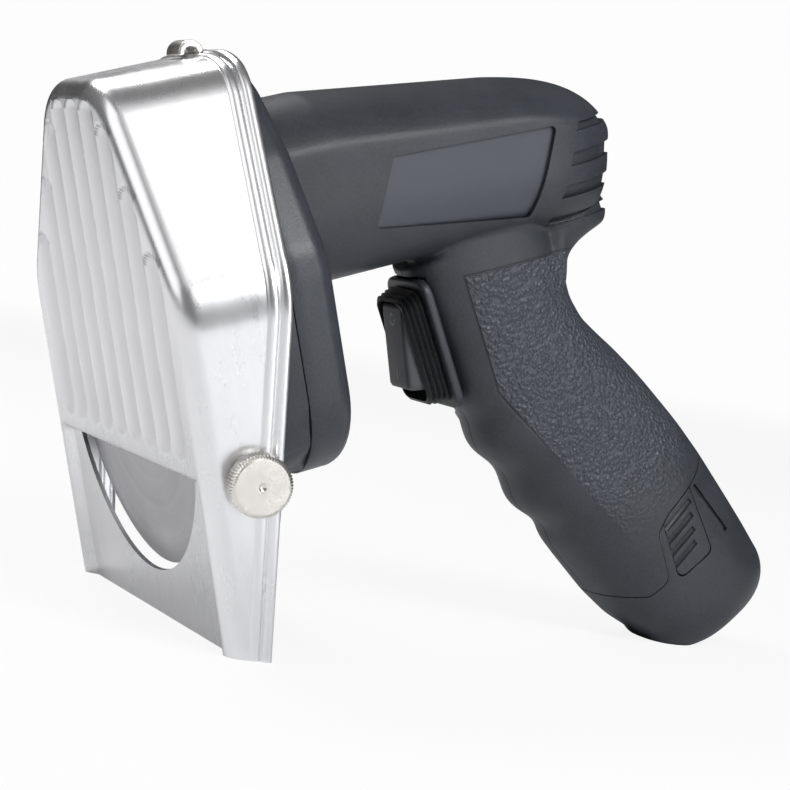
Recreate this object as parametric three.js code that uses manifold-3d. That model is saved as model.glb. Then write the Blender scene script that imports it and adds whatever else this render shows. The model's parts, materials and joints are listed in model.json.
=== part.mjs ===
// Cordless kebab slicer: a round blade behind a cast guard, a spur gear head, a barrel with the motor,
// a pistol grip with a booted rocker switch and a stick battery in its foot.
// Millimetres. The tool frame has X to the rear along the blade axis, Y to the tool's right and Z up in
// the blade's plane, with its origin in the middle of the guard's cutting plate. The finished tool is
// pitched nose down, so that it stands on the guard's lower edge and on the foot of the battery.
import * as THREE from 'three';
import { mergeVertices } from 'three/addons/utils/BufferGeometryUtils.js';
import Module from 'manifold-3d';

const wasm = await Module();
wasm.setup();

// Fits
const FIT = 0.3;
const RUNNING_GAP = 1;
const SEAM = 0.4;

// Standing pose
const STAND_PITCH = 20;

// Blade and its drive
const BLADE_R = 50;
const BLADE_THICK = 1.6;
const BLADE_BEVEL = 6;
const BLADE_EDGE = 0.3;
const BLADE_SET_BACK = 4.8;
const PILOT_R = 6;
const HUB_R = 16;
const HUB_THICK = 3;
const BLADE_SCREW_R = 3;
const BLADE_SCREW_HEAD_R = 9;
const BLADE_SCREW_HEAD = 0.7;
const BLADE_SCREW_LENGTH = 16;
const SPINDLE_R = 5;
const SPINDLE_LENGTH = 36.9;
const FRONT_BEARING_R = 13;
const FRONT_BEARING_WIDTH = 8;
const REAR_BEARING_R = 11;
const REAR_BEARING_WIDTH = 7;
const BEARING_CHAMFER = 0.8;
const SEAL_R = 11;
const GEAR_MODULE = 1;
const SPINDLE_TEETH = 32;
const IDLER_PINION_TEETH = 12;
const IDLER_WHEEL_TEETH = 30;
const MOTOR_TEETH = 16;
const GEAR_WIDTH = 8;
const WHEEL_WIDTH = 7;
const PINION_OVER = 0.5;
const GEAR_CLEAR = 0.7;
const IDLER_PIN_R = 2.5;

// Guard
const GUARD_TOP = 93;
const GUARD_TOP_HALF = 23;
const GUARD_TOP_ROUND = 24;
const SHOULDER_HALF = 64;
const SHOULDER_Z = 33;
const SHOULDER_ROUND = 26;
const GUARD_FOOT_HALF = 63;
const GUARD_FOOT_ROUND = 8;
const GUARD_FOOT_Z = -65;
const GUARD_WALL = 2.2;
const GUARD_DRAFT = 8;
const GUARD_EDGE_ROUND = 5;
const GUARD_FOOT_DEPTH = 7.2;
const GUARD_REAR_LEAN = 14.2;
const FRONT_LEAN = 2.7;
const FIELD_PROUD = 1.5;
const FIELD_WALL = 2;
const PLATE_THICK = 2.4;
const PLATE_RIM = 5.5;
const CHORD_Z = -16.6;
const LIP = 2.6;
const FLUTE_COUNT = 9;
const FLUTE_PITCH = 11;
const FLUTE_R = 14;
const FLUTE_DEPTH = 1;
const FLUTE_FRAME = 3;
const FLUTE_END_Z = -9;
const FLUTE_TOP_ROOM = 12;
const BEAD_PROUD = 1.3;
const BEAD_WIDTH = 2.6;

// Hook that the guard swings on
const HOOK_X = 43.5;
const HOOK_WIDTH = 10;
const HOOK_THICK = 1.9;
const HOOK_R = 3.9;
const HOOK_ROOM = 1;

// Thumb screws that clamp the guard
const SWING_DEG = 1.2;
const THUMB_X = 12.2;
const THUMB_Z = -17;
const KNOB_R = 8.8;
const KNOB_HEIGHT = 6;
const KNOB_CHAMFER = 1.3;
const KNOB_COLLAR_R = 4.4;
const KNOB_DIMPLE_R = 1.6;
const KNURLS = 12;
const KNURL_DEPTH = 0.5;
const THUMB_SHANK_R = 3;
const THUMB_REACH = 23;
const THUMB_BOSS_R = 6;
const THUMB_BOSS_REACH = 27;
const THUMB_BOSS_START = 4;

// Gear case
const CASE_FRONT_X = 11.6;
const CASE_JOINT_X = 37;
const CASE_REAR_X = 52;
const CASE_ROOF_ROOM = 1.3;
const CASE_TOP = GUARD_TOP - GUARD_WALL - CASE_ROOF_ROOM;
const CASE_TOP_HALF = 20;
const CASE_TOP_ROUND = 22;
const CASE_SIDE_ROOM = 10;
const CASE_HALF = SHOULDER_HALF - CASE_SIDE_ROOM;
const CASE_HALF_Z = 36;
const CASE_SHOULDER_IN = 14.5;
const CASE_SHOULDER_Z = 65;
const CASE_SHOULDER_ROUND = 20;
const CASE_DRAW = 3.5;
const CASE_HALF_ROUND = 24;
const CASE_BOTTOM = -28;
const CASE_BOTTOM_ROUND = 26;
const CASE_WALL = 2.6;
const CASE_END_WALL = 3.2;
const CASE_FRONT_ROUND = 5;
const CASE_REAR_ROUND = 6;
const CASE_BOSS_WALL = 3.2;
const CASE_SCREW_R = 2;
const CASE_SCREW_HEAD_R = 3.4;
const CASE_SCREW_HEAD = 3.2;
const CASE_SCREW_LENGTH = 20;
const CASE_SCREW_UPPER = [33, 58];
const CASE_SCREW_IN = 10;
const CASE_SCREW_LOWER = [CASE_HALF - CASE_SCREW_IN, -3];
const LUG_DROP = 9;
const LUG_WIDTH = 9;
const LUG_IN = 12;
const LUG_ROOT = 8;
const LUG_BACK = 6;
const LUG_RAKE = 5;

// Motor
const MOTOR_R = 20;
const MOTOR_WALL = 1.5;
const MOTOR_LENGTH = 56;
const MOTOR_CAP = 8;
const MOTOR_SHAFT_R = 3;
const MOTOR_NOSE_R = 8;
const MAGNET_THICK = 3.6;
const MAGNET_SPAN = 140;
const MAGNET_STEPS = 10;
const ARMATURE_LENGTH = 38;
const ARMATURE_SLOTS = 5;
const ARMATURE_SLOT_R = 2.2;
const MOTOR_TAB = { out: 12, half: 2.4, reach: 4 };
const TAB_THICK = 0.8;

// Barrel
const BODY_WALL = 2.5;
const BARREL_FRONT = { middle: 48.5, high: 28.5, half: 27 };
const BARREL_TAIL = { middle: 44.5, high: 24.5, half: 25.5 };
const BARREL_STRAIGHT = 18;
const BARREL_TAIL_X = 135;
const BARREL_END_X = 167.5;
const BARREL_END_DROP = 7;
const BARREL_END_LEAN = 0.22;
const BODY_SQUARENESS = 2.6;
const VENT_COUNT = 4;
const VENT_PITCH = 8.2;
const VENT_HEIGHT = 2.4;
const VENT_DEPTH = 1.5;
const VENT_X = 150;
const VENT_Z = 26;
// The shallow recess in the barrel's left side, as places in the tool's X and Z
const LABEL_CORNERS = [[79, 35], [133, 27], [144, 52.5], [88, 55]];
const LABEL_ROUND = 4;
const LABEL_DEPTH = 0.8;

// Grip, measured along its own axis from GRIP_ORIGIN
const GRIP_ORIGIN = [118, 20];
const GRIP_LEAN = 24;
const GRIP_TOP_HALF = 17.5;
const GRIP_FOOT_HALF = 21;
const GRIP_END = 161.5;
const FINGER_BUMP = 1.3;
const FINGER_PITCH = 24.6;
const FINGER_FIRST = 57;

// Rocker switch
const SWITCH_AT = [99.3, -7.2];
const SWITCH_LEAN = 7.5;
const FRAME_HALF = [13, 21];
const FRAME_THICK = 3;
const FRAME_ROUND = 5;
const ROCKER_HALF = [7.7, 14];
const ROCKER_FRONT = 9;
const ROCKER_EAR_R = 2.2;
const ROCKER_TILT = 12;
const BOOT_WALL = 2.6;
const BOOT_HEIGHT = 6.6;
const BOOT_PLEATS = 3;
const BOOT_FOLD = 1.1;
const BOOT_TAPER = 0.25;
const SWITCH_HALF = [8, 13.5];
const SWITCH_DEPTH = 20;
const SWITCH_TAB = { out: 7, half: 3, reach: 6 };
const SWITCH_CLEAR = 40;

// Battery
const CELL_R = 9.2;
const CELL_LENGTH = 65;
const CELL_TOP = 72;
const CELL_PITCH = 20;
const CELL_MIDDLE = -0.5;
const BATTERY_WALL = 1.5;
const BATTERY_CAP = 4;
const STEM_ROUND = 6;
// The latch button's corners, as distance down the grip and back from its axis
const LATCH_CORNERS = [[130, -5], [130, 10], [104, 16], [105, 2]];
const LATCH_ROUND = 2.5;
const LATCH_GROOVE_FIRST = [112.9, 0.4];
const LATCH_GROOVE_STEP = [4.2, -2.1];
const LATCH_GROOVE_SPAN = [-2, 12.4];
const STEM_END = 131;
const LATCH_THICK = 4;
const LATCH_PRESS = 1.8;
const LATCH_GROOVES = 4;
const LATCH_GROOVE_R = 1.1;
const TERMINAL_LENGTH = 10;
const TERMINAL_HALF = 14.2;
const TERMINAL_DEEP = 10;
const CONTACT_THICK = 0.8;
const CONTACT_WIDE = 8;
const CONTACT_APART = 5;
const CONTACT_REACH = 7;

// Screws that close the body, as places in the tool's X and Z
const END_SCREW_IN = 9.5;
const BODY_SCREWS = [
  [123, 62], [125, 28], [BARREL_END_X - END_SCREW_IN, 38], [146, -7], [116, -35], [158, -26],
];
const BODY_SCREW_R = 1.6;
const BODY_SCREW_HEAD_R = 3.2;
const BODY_SCREW_HEAD = 2.2;
const BODY_SCREW_SUNK = 1.5;
const BODY_SCREW_REACH = 8;
const BODY_BOSS_R = 4;

const ROUND = 16;
const SMALL_ROUND = 8;
const MOTOR_SIDES = 24;
const BLADE_SIDES = 36;
const BARREL_SIDES = 20;
const GRIP_SIDES = 20;
const LINER_SIDES = 12;
const FAR = 400;
const deg = THREE.MathUtils.degToRad;
const slope = (angle) => Math.tan(deg(angle));

// Solids: closed meshes that can be joined and cut

function solid(geometry) {
  const bare = new THREE.BufferGeometry();
  bare.setAttribute('position', geometry.getAttribute('position').clone());
  if (geometry.index) bare.setIndex(geometry.index);
  const merged = mergeVertices(bare, 1e-4);
  const points = merged.getAttribute('position').array;
  const faces = [];
  let volume = 0;
  const corner = (i) => new THREE.Vector3().fromArray(points, 3 * i);
  for (let i = 0; i < merged.index.count; i += 3) {
    const [a, b, c] = merged.index.array.slice(i, i + 3);
    if (a === b || b === c || c === a) continue;
    volume += corner(a).dot(corner(b).cross(corner(c)));
    faces.push(a, b, c);
  }
  // A sweep may come out inside out, so its faces are turned to point out.
  if (volume < 0) faces.reverse();
  return new wasm.Manifold(new wasm.Mesh({
    numProp: 3,
    vertProperties: new Float32Array(points),
    triVerts: new Uint32Array(faces),
  }));
}

function moved(shape, matrix) {
  return shape.transform(matrix.elements);
}

function join(...shapes) {
  return shapes.reduce((whole, next) => whole.add(next));
}

function cut(shape, ...tools) {
  return tools.reduce((rest, tool) => rest.subtract(tool), shape);
}

function plate(outline, depth) {
  const shape = new THREE.Shape(outline.map(([a, b]) => new THREE.Vector2(a, b)));
  return new THREE.ExtrudeGeometry(shape, { depth, bevelEnabled: false });
}

// An outline in Y and Z, swept along X.
function alongX(outline, from, to) {
  const basis = new THREE.Matrix4().makeBasis(
    new THREE.Vector3(0, 1, 0), new THREE.Vector3(0, 0, 1), new THREE.Vector3(1, 0, 0));
  return solid(plate(outline, to - from).applyMatrix4(basis).translate(from, 0, 0));
}

// An outline in X and Z, swept along Y.
function alongY(outline, from, to) {
  return solid(plate(outline, to - from).rotateX(Math.PI / 2).translate(0, to, 0));
}

function rodX(radius, from, to, y = 0, z = 0, sides = ROUND) {
  const rod = new THREE.CylinderGeometry(radius, radius, to - from, sides).rotateZ(Math.PI / 2);
  return solid(rod.translate((from + to) / 2, y, z));
}

function rodY(radius, from, to, x, z, sides = ROUND) {
  const rod = new THREE.CylinderGeometry(radius, radius, to - from, sides);
  return solid(rod.translate(x, (from + to) / 2, z));
}

// A closed profile of [radius, x] pairs, turned about the X axis.
function turned(profile, sides = ROUND) {
  const points = [...profile, profile[0]].map(([r, x]) => new THREE.Vector2(r, x));
  return solid(new THREE.LatheGeometry(points, sides).rotateZ(-Math.PI / 2));
}

function ring(inner, outer, from, to, sides = ROUND) {
  return turned([[inner, from], [outer, from], [outer, to], [inner, to]], sides);
}

function box(x, y, z) {
  const size = [x, y, z].map(([low, high]) => high - low);
  const middle = [x, y, z].map(([low, high]) => (low + high) / 2);
  return solid(new THREE.BoxGeometry(...size).translate(...middle));
}

// A skin over rings of equally many points, closed by a fan at each end.
function loft(rings) {
  const count = rings[0].length;
  const points = rings.flat().map((p) => p.toArray());
  const faces = [];
  for (let r = 0; r + 1 < rings.length; r += 1) {
    for (let i = 0; i < count; i += 1) {
      const a = r * count + i;
      const b = r * count + (i + 1) % count;
      faces.push(a, b, a + count, b, b + count, a + count);
    }
  }
  const caps = [[0, 1], [(rings.length - 1) * count, 0]];
  for (const [first, turn] of caps) {
    const middle = new THREE.Vector3();
    for (let i = 0; i < count; i += 1) middle.add(rings[first / count][i]);
    const hub = points.push(middle.divideScalar(count).toArray()) - 1;
    for (let i = 0; i < count; i += 1) {
      const pair = [first + i, first + (i + 1) % count];
      if (turn) pair.reverse();
      faces.push(hub, ...pair);
    }
  }
  const geometry = new THREE.BufferGeometry();
  geometry.setAttribute('position', new THREE.Float32BufferAttribute(points.flat(), 3));
  geometry.setIndex(faces);
  return solid(geometry);
}

// Outlines

function grown(corners, by) {
  return corners.map((corner, i) => {
    const here = new THREE.Vector2(...corner);
    const before = new THREE.Vector2(...corners.at(i - 1));
    const after = new THREE.Vector2(...corners[(i + 1) % corners.length]);
    const n1 = here.clone().sub(before).normalize().rotateAround(new THREE.Vector2(), -Math.PI / 2);
    const n2 = after.clone().sub(here).normalize().rotateAround(new THREE.Vector2(), -Math.PI / 2);
    return here.add(n1.clone().add(n2).multiplyScalar(by / (1 + n1.dot(n2)))).toArray();
  });
}

// Rounds each corner of a polygon with its own radius.
function rounded(corners, radii, steps = 5) {
  return corners.flatMap((corner, i) => {
    const here = new THREE.Vector2(...corner);
    const back = new THREE.Vector2(...corners.at(i - 1)).sub(here).normalize();
    const ahead = new THREE.Vector2(...corners[(i + 1) % corners.length]).sub(here).normalize();
    const half = Math.acos(THREE.MathUtils.clamp(back.dot(ahead), -1, 1)) / 2;
    const radius = Math.max(radii[i], FIT);
    const inward = back.clone().add(ahead).normalize();
    const middle = here.clone().addScaledVector(inward, radius / Math.sin(half));
    const start = here.clone().addScaledVector(back, radius / Math.tan(half)).sub(middle);
    const end = here.clone().addScaledVector(ahead, radius / Math.tan(half)).sub(middle);
    let sweep = end.angle() - start.angle();
    if (sweep > Math.PI) sweep -= 2 * Math.PI;
    if (sweep < -Math.PI) sweep += 2 * Math.PI;
    return Array.from({ length: steps + 1 }, (_, k) => start.clone()
      .rotateAround(new THREE.Vector2(), sweep * k / steps).add(middle).toArray());
  });
}

function roundedBox(halfWide, halfHigh, radius, steps = 3) {
  const corners = [
    [halfWide, -halfHigh], [halfWide, halfHigh], [-halfWide, halfHigh], [-halfWide, -halfHigh],
  ];
  return rounded(corners, corners.map(() => radius), steps);
}

const mirrored = (half) => [...half, ...half.map(([y, z]) => [-y, z]).reverse()];
const atX = (outline, x) => outline.map(([y, z]) => new THREE.Vector3(x, y, z));

// The ground in the tool frame: the guard's lower edge lies in it, and the battery's foot is cut by it.
const groundZ = (x) => GUARD_FOOT_Z - slope(STAND_PITCH) * x;
const GROUND = alongY(
  [[-FAR, groundZ(-FAR)], [FAR, groundZ(FAR)], [FAR, -3 * FAR], [-FAR, -3 * FAR]].reverse(), -FAR, FAR);

// Guard

const fieldBackX = -FIELD_PROUD + FIELD_WALL;
const frontLean = new THREE.Matrix4().makeTranslation(0, 0, CHORD_Z)
  .multiply(new THREE.Matrix4().makeShear(0, 0, 0, 0, slope(FRONT_LEAN), 0))
  .multiply(new THREE.Matrix4().makeTranslation(0, 0, -CHORD_Z));
const leaning = (shape) => moved(shape, frontLean);
const rearX = (z) => GUARD_FOOT_DEPTH + slope(GUARD_REAR_LEAN) * (z - groundZ(GUARD_FOOT_DEPTH));

function guardOutline(x, inset, footDrop = 0) {
  const spread = slope(GUARD_DRAFT) * Math.max(x, 0);
  const corners = mirrored([
    [GUARD_FOOT_HALF + spread, groundZ(x) - footDrop],
    [SHOULDER_HALF + spread, SHOULDER_Z],
    [GUARD_TOP_HALF + spread, GUARD_TOP],
  ]);
  // The foot is rounded at the plate only: behind it the side walls come down square to the ground.
  const foot = x > PLATE_THICK ? FIT : GUARD_FOOT_ROUND;
  const radii = [foot, SHOULDER_ROUND, GUARD_TOP_ROUND].map((r) => r - inset);
  return rounded(grown(corners, -inset), [...radii, ...radii.toReversed()]);
}

function guardLoft(inset, stations, footDrop = 0) {
  return loft(stations.map(([x, more]) => atX(guardOutline(x, inset + more, footDrop), x)));
}

function guardSkin(inset) {
  const round = GUARD_EDGE_ROUND;
  const arc = [0, 30, 60, 90].map((a) => [
    -FIELD_PROUD + round * (1 - Math.cos(deg(a))),
    round * (1 - Math.sin(deg(a))),
  ]);
  return guardLoft(inset, [...arc, [PLATE_THICK, 0], [2 * PLATE_THICK, 0], [FAR / 5, 0]]);
}

function flute(i) {
  const y = (i - (FLUTE_COUNT - 1) / 2) * FLUTE_PITCH;
  const frame = guardOutline(0, GUARD_EDGE_ROUND + FLUTE_FRAME);
  const reach = Math.sqrt(2 * FLUTE_R * FLUTE_DEPTH);
  const outer = Math.abs(y) + reach * 0.7;
  const inside = frame.filter(([py, pz]) => pz > 0 && Math.abs(py) >= outer).map(([, pz]) => pz);
  const slanted = SHOULDER_Z + (GUARD_TOP - SHOULDER_Z)
    * (SHOULDER_HALF - GUARD_EDGE_ROUND - FLUTE_FRAME - outer) / (SHOULDER_HALF - GUARD_TOP_HALF);
  const below = Math.max(...inside, SHOULDER_Z) - reach * 0.2;
  const top = Math.min(slanted - reach, below, GUARD_TOP - FLUTE_TOP_ROOM);
  const length = Math.max(top - FLUTE_END_Z, 1);
  const tool = new THREE.CapsuleGeometry(FLUTE_R, length, 3, 12).rotateX(Math.PI / 2);
  return solid(tool.translate(-FIELD_PROUD - FLUTE_R + FLUTE_DEPTH, y, (top + FLUTE_END_Z) / 2));
}

function thumbAxis(side) {
  return new THREE.Vector3(-Math.sin(deg(GUARD_DRAFT)), side * Math.cos(deg(GUARD_DRAFT)), 0);
}

// Where a thumb screw's axis leaves the guard's side wall.
function thumbSeat(side) {
  const half = THREE.MathUtils.lerp(
    GUARD_FOOT_HALF, SHOULDER_HALF, (THUMB_Z - groundZ(THUMB_X)) / (SHOULDER_Z - groundZ(THUMB_X)));
  return new THREE.Vector3(THUMB_X, side * (half + slope(GUARD_DRAFT) * THUMB_X), THUMB_Z);
}

// Turns a solid made along X, from 0 outwards, onto a thumb screw's axis.
function onThumb(shape, side) {
  const turn = new THREE.Quaternion().setFromUnitVectors(new THREE.Vector3(1, 0, 0), thumbAxis(side));
  return moved(shape, new THREE.Matrix4().compose(thumbSeat(side), turn, new THREE.Vector3(1, 1, 1)));
}

function makeGuard() {
  const swing = deg(SWING_DEG) * (GUARD_TOP - THUMB_Z);
  const cavity = guardLoft(GUARD_WALL, [[PLATE_THICK, 0], [FAR / 5, 0]], FAR / 5);
  const fieldRoom = alongX(
    guardOutline(0, GUARD_WALL + GUARD_EDGE_ROUND), fieldBackX, PLATE_THICK + FIT);
  const aboveChord = box([-FAR, FAR], [-FAR, FAR], [CHORD_Z, FAR]);
  const belowChord = box([-FAR, FAR], [-FAR, FAR], [-FAR, CHORD_Z]);
  const recess = guardLoft(PLATE_RIM, [[-FAR / 5, 0], [0, 0]], FAR / 5);
  const belowLip = alongY([
    [-FAR, -FAR], [0, -FAR], [0, CHORD_Z],
    [-FIELD_PROUD, CHORD_Z + LIP], [-FAR, CHORD_Z + LIP],
  ], -FAR, FAR);
  const halfMoon = rodX(BLADE_R + RUNNING_GAP, -FIELD_PROUD, PLATE_THICK + FIT, 0, 0, BLADE_SIDES)
    .intersect(belowChord);
  const rimSlab = alongY([
    [rearX(-FAR) - BEAD_WIDTH, -FAR], [rearX(-FAR), -FAR],
    [rearX(FAR), FAR], [rearX(FAR) - BEAD_WIDTH, FAR],
  ], -FAR, FAR);
  const bead = leaning(guardLoft(-BEAD_PROUD, [[BEAD_WIDTH / 2, 0], [FAR / 5, 0]])).intersect(rimSlab);
  const behind = alongY([[rearX(-FAR), -FAR], [3 * FAR, -FAR], [3 * FAR, FAR], [rearX(FAR), FAR]], -FAR, FAR);
  const hookHalf = HOOK_WIDTH / 2 + RUNNING_GAP;
  const hookSlot = box(
    [HOOK_X - HOOK_THICK / 2 - RUNNING_GAP, HOOK_X + HOOK_THICK / 2 + RUNNING_GAP],
    [-hookHalf, hookHalf], [CASE_TOP, GUARD_TOP + BEAD_PROUD + 1]);
  const slots = [-1, 1].map((side) => onThumb(
    alongX(roundedBox(THUMB_SHANK_R + RUNNING_GAP + swing, THUMB_SHANK_R + RUNNING_GAP, THUMB_SHANK_R),
      -THUMB_REACH, KNOB_HEIGHT), side));
  const flutes = Array.from({ length: FLUTE_COUNT }, (_, i) => flute(i));
  const front = [fieldRoom.intersect(aboveChord), recess.intersect(belowLip), halfMoon, ...flutes];
  const shell = join(leaning(cut(guardSkin(0), ...front)), bead);
  return cut(shell, leaning(cavity), behind, GROUND, hookSlot, ...slots);
}

function makeHook() {
  const outer = HOOK_R;
  const inner = HOOK_R - HOOK_THICK;
  const middleX = HOOK_X + HOOK_THICK / 2 - outer;
  const middleZ = GUARD_TOP + HOOK_ROOM;
  const bend = (radius, angle) => [
    middleX + radius * Math.cos(deg(angle)),
    middleZ + radius * Math.sin(deg(angle)),
  ];
  const angles = Array.from({ length: 10 }, (_, i) => i * 20);
  const profile = [
    [middleX + outer, CASE_TOP + FIT],
    ...angles.map((a) => bend(outer, a)),
    ...angles.toReversed().map((a) => bend(inner, a)),
    [middleX + inner, CASE_TOP + FIT],
  ];
  return alongY(profile, -HOOK_WIDTH / 2, HOOK_WIDTH / 2);
}

function makeThumbScrew(side) {
  const knurled = Array.from({ length: KNURLS * 2 }, (_, i) => {
    const radius = KNOB_R - (i % 2 ? KNURL_DEPTH : 0);
    const angle = Math.PI * i / KNURLS;
    return [radius * Math.cos(angle), radius * Math.sin(angle)];
  });
  // The knob clears the bead of the guard's rim, and its collar bears on the guard's wall.
  const foot = BEAD_PROUD + 2 * FIT;
  const face = foot + KNOB_HEIGHT;
  const chamfers = turned([
    [0, foot], [KNOB_R - KNOB_CHAMFER / 2, foot], [KNOB_R, foot + KNOB_CHAMFER / 2],
    [KNOB_R, face - KNOB_CHAMFER], [KNOB_R - KNOB_CHAMFER, face],
    [KNOB_DIMPLE_R, face], [0, face - KNOB_DIMPLE_R / 2],
  ], KNURLS * 2);
  const knob = alongX(knurled, foot, face).intersect(chamfers);
  const collar = rodX(KNOB_COLLAR_R, SEAM, foot + 1);
  return onThumb(join(knob, collar, rodX(THUMB_SHANK_R, -THUMB_REACH, foot, 0, 0, SMALL_ROUND)), side);
}

// Gear case

function caseOutline(inset) {
  const corners = mirrored([
    [CASE_HALF - CASE_DRAW, CASE_BOTTOM],
    [CASE_HALF, CASE_HALF_Z],
    [CASE_HALF - CASE_SHOULDER_IN, CASE_SHOULDER_Z],
    [CASE_TOP_HALF, CASE_TOP],
  ]);
  const radii = [CASE_BOTTOM_ROUND, CASE_HALF_ROUND, CASE_SHOULDER_ROUND, CASE_TOP_ROUND]
    .map((r) => r - inset);
  return rounded(grown(corners, -inset), [...radii, ...radii.toReversed()], 3);
}

function caseLoft(inset, stations) {
  return loft(stations.map(([x, more]) => atX(caseOutline(inset + more), x)));
}

const caseScrews = [CASE_SCREW_UPPER, CASE_SCREW_LOWER].flatMap(([y, z]) => [[-y, z], [y, z]]);
const idlerZ = GEAR_MODULE * (SPINDLE_TEETH + IDLER_PINION_TEETH) / 2;
const motorZ = idlerZ + GEAR_MODULE * (IDLER_WHEEL_TEETH + MOTOR_TEETH) / 2;
const hubX = BLADE_SET_BACK + BLADE_THICK + FIT;
const spindleX = hubX + HUB_THICK + FIT;
const frontBearingX = CASE_FRONT_X + CASE_END_WALL + FIT;
const gearX = frontBearingX + FRONT_BEARING_WIDTH + FIT + GEAR_CLEAR;
const wheelX = gearX + GEAR_WIDTH + 2 * PINION_OVER;
const pinBossX = wheelX + WHEEL_WIDTH + RUNNING_GAP;
const caseScrewSeat = CASE_REAR_X - CASE_SCREW_HEAD - FIT;
const rearBearingX = CASE_REAR_X - CASE_END_WALL - FIT - REAR_BEARING_WIDTH;

function makeCaseFront() {
  const round = CASE_FRONT_ROUND;
  const skin = caseLoft(0, [[CASE_FRONT_X, round], [CASE_FRONT_X + round * 0.3, round * 0.3],
    [CASE_FRONT_X + round, 0], [CASE_JOINT_X, 0]]);
  const room = caseLoft(CASE_WALL, [[CASE_FRONT_X + CASE_END_WALL, round * 0.4],
    [CASE_FRONT_X + round, 0], [CASE_JOINT_X + FIT, 0]]);
  const lugs = [-1, 1].map((side) => {
    const edge = CASE_HALF - LUG_IN;
    const span = [side * edge, side * (edge - LUG_WIDTH)].sort((a, b) => a - b);
    return alongY([
      [THUMB_X + THUMB_BOSS_R, CASE_BOTTOM + LUG_ROOT], [CASE_JOINT_X - LUG_BACK, CASE_BOTTOM + LUG_ROOT],
      [CASE_JOINT_X - LUG_BACK - LUG_RAKE, CASE_BOTTOM - LUG_DROP],
    ].reverse(), ...span);
  });
  const boss = ring(FRONT_BEARING_R + FIT, FRONT_BEARING_R + CASE_BOSS_WALL,
    CASE_FRONT_X + 1, frontBearingX + FRONT_BEARING_WIDTH);
  const posts = caseScrews.map(([y, z]) => rodX(
    CASE_SCREW_R + CASE_BOSS_WALL, CASE_FRONT_X + 1, CASE_JOINT_X, y, z, SMALL_ROUND));
  const pinPost = rodX(
    IDLER_PIN_R + CASE_BOSS_WALL, CASE_FRONT_X + 1, gearX - 2 * PINION_OVER, 0, idlerZ, SMALL_ROUND);
  const thumbPosts = [-1, 1].map((side) => onThumb(
    rodX(THUMB_BOSS_R, -THUMB_BOSS_REACH, -THUMB_BOSS_START), side));
  const inside = join(boss, pinPost, ...posts, ...thumbPosts).intersect(skin);
  const shell = join(cut(skin, room), inside, ...lugs);
  return cut(shell,
    rodX(SEAL_R + FIT, 0, frontBearingX),
    rodX(FRONT_BEARING_R + FIT, frontBearingX - FIT, gearX),
    rodX(IDLER_PIN_R + FIT, frontBearingX, gearX, 0, idlerZ, SMALL_ROUND),
    ...caseScrews.map(([y, z]) => rodX(CASE_SCREW_R + FIT, gearX + 2, CASE_JOINT_X + 1, y, z, SMALL_ROUND)),
    ...[-1, 1].map((side) => onThumb(
      rodX(THUMB_SHANK_R + FIT, -THUMB_REACH - 1, 0, 0, 0, SMALL_ROUND), side)));
}

function makeCaseRear() {
  const front = CASE_JOINT_X + FIT;
  const round = CASE_REAR_ROUND;
  const skin = caseLoft(0, [[front, 0], [CASE_REAR_X - round, 0],
    [CASE_REAR_X - round * 0.3, round * 0.3], [CASE_REAR_X, round]]);
  const room = caseLoft(CASE_WALL, [[front - FIT, 0], [CASE_REAR_X - round, 0],
    [CASE_REAR_X - CASE_END_WALL, round * 0.4]]);
  const boss = ring(REAR_BEARING_R + FIT, REAR_BEARING_R + CASE_BOSS_WALL,
    rearBearingX, CASE_REAR_X - 1);
  const posts = caseScrews.map(([y, z]) => rodX(
    CASE_SCREW_R + CASE_BOSS_WALL, front, CASE_REAR_X, y, z, SMALL_ROUND));
  const pinPost = rodX(
    IDLER_PIN_R + CASE_BOSS_WALL, pinBossX, CASE_REAR_X - 1, 0, idlerZ, SMALL_ROUND);
  const inside = join(boss, pinPost, ...posts).intersect(skin);
  return cut(join(cut(skin, room), inside),
    rodX(REAR_BEARING_R + FIT, 0, CASE_REAR_X - CASE_END_WALL),
    rodX(IDLER_PIN_R + FIT, 0, CASE_REAR_X - CASE_END_WALL, 0, idlerZ, SMALL_ROUND),
    rodX(MOTOR_NOSE_R + FIT, 0, CASE_REAR_X + 1, 0, motorZ),
    ...caseScrews.map(([y, z]) => rodX(CASE_SCREW_R + FIT, 0, CASE_REAR_X + 1, y, z, SMALL_ROUND)),
    ...caseScrews.map(([y, z]) => rodX(
      CASE_SCREW_HEAD_R + FIT, caseScrewSeat - FIT, CASE_REAR_X + 1, y, z, SMALL_ROUND)));
}

function makeCaseScrew([y, z]) {
  const seat = caseScrewSeat;
  const head = rodX(CASE_SCREW_HEAD_R, seat, seat + CASE_SCREW_HEAD, y, z, SMALL_ROUND);
  const socket = rodX(CASE_SCREW_R * 0.8, seat + CASE_SCREW_HEAD / 2, seat + CASE_SCREW_HEAD + 1, y, z, 6);
  return cut(join(head, rodX(CASE_SCREW_R, seat - CASE_SCREW_LENGTH, seat + 1, y, z, SMALL_ROUND)), socket);
}

// Blade, spindle and gears

function makeBlade() {
  const front = BLADE_SET_BACK;
  const back = BLADE_SET_BACK + BLADE_THICK;
  return turned([
    [PILOT_R + FIT, front], [BLADE_R - BLADE_BEVEL, front], [BLADE_R, back - BLADE_EDGE],
    [BLADE_R, back], [PILOT_R + FIT, back],
  ], BLADE_SIDES);
}

function makeHub() {
  const pilot = BLADE_SET_BACK + FIT;
  const bore = BLADE_SCREW_R + FIT;
  return turned([
    [bore, pilot], [PILOT_R, pilot], [PILOT_R, hubX], [HUB_R - 1, hubX], [HUB_R, hubX + 1],
    [HUB_R, hubX + HUB_THICK], [bore, hubX + HUB_THICK],
  ]);
}

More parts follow.
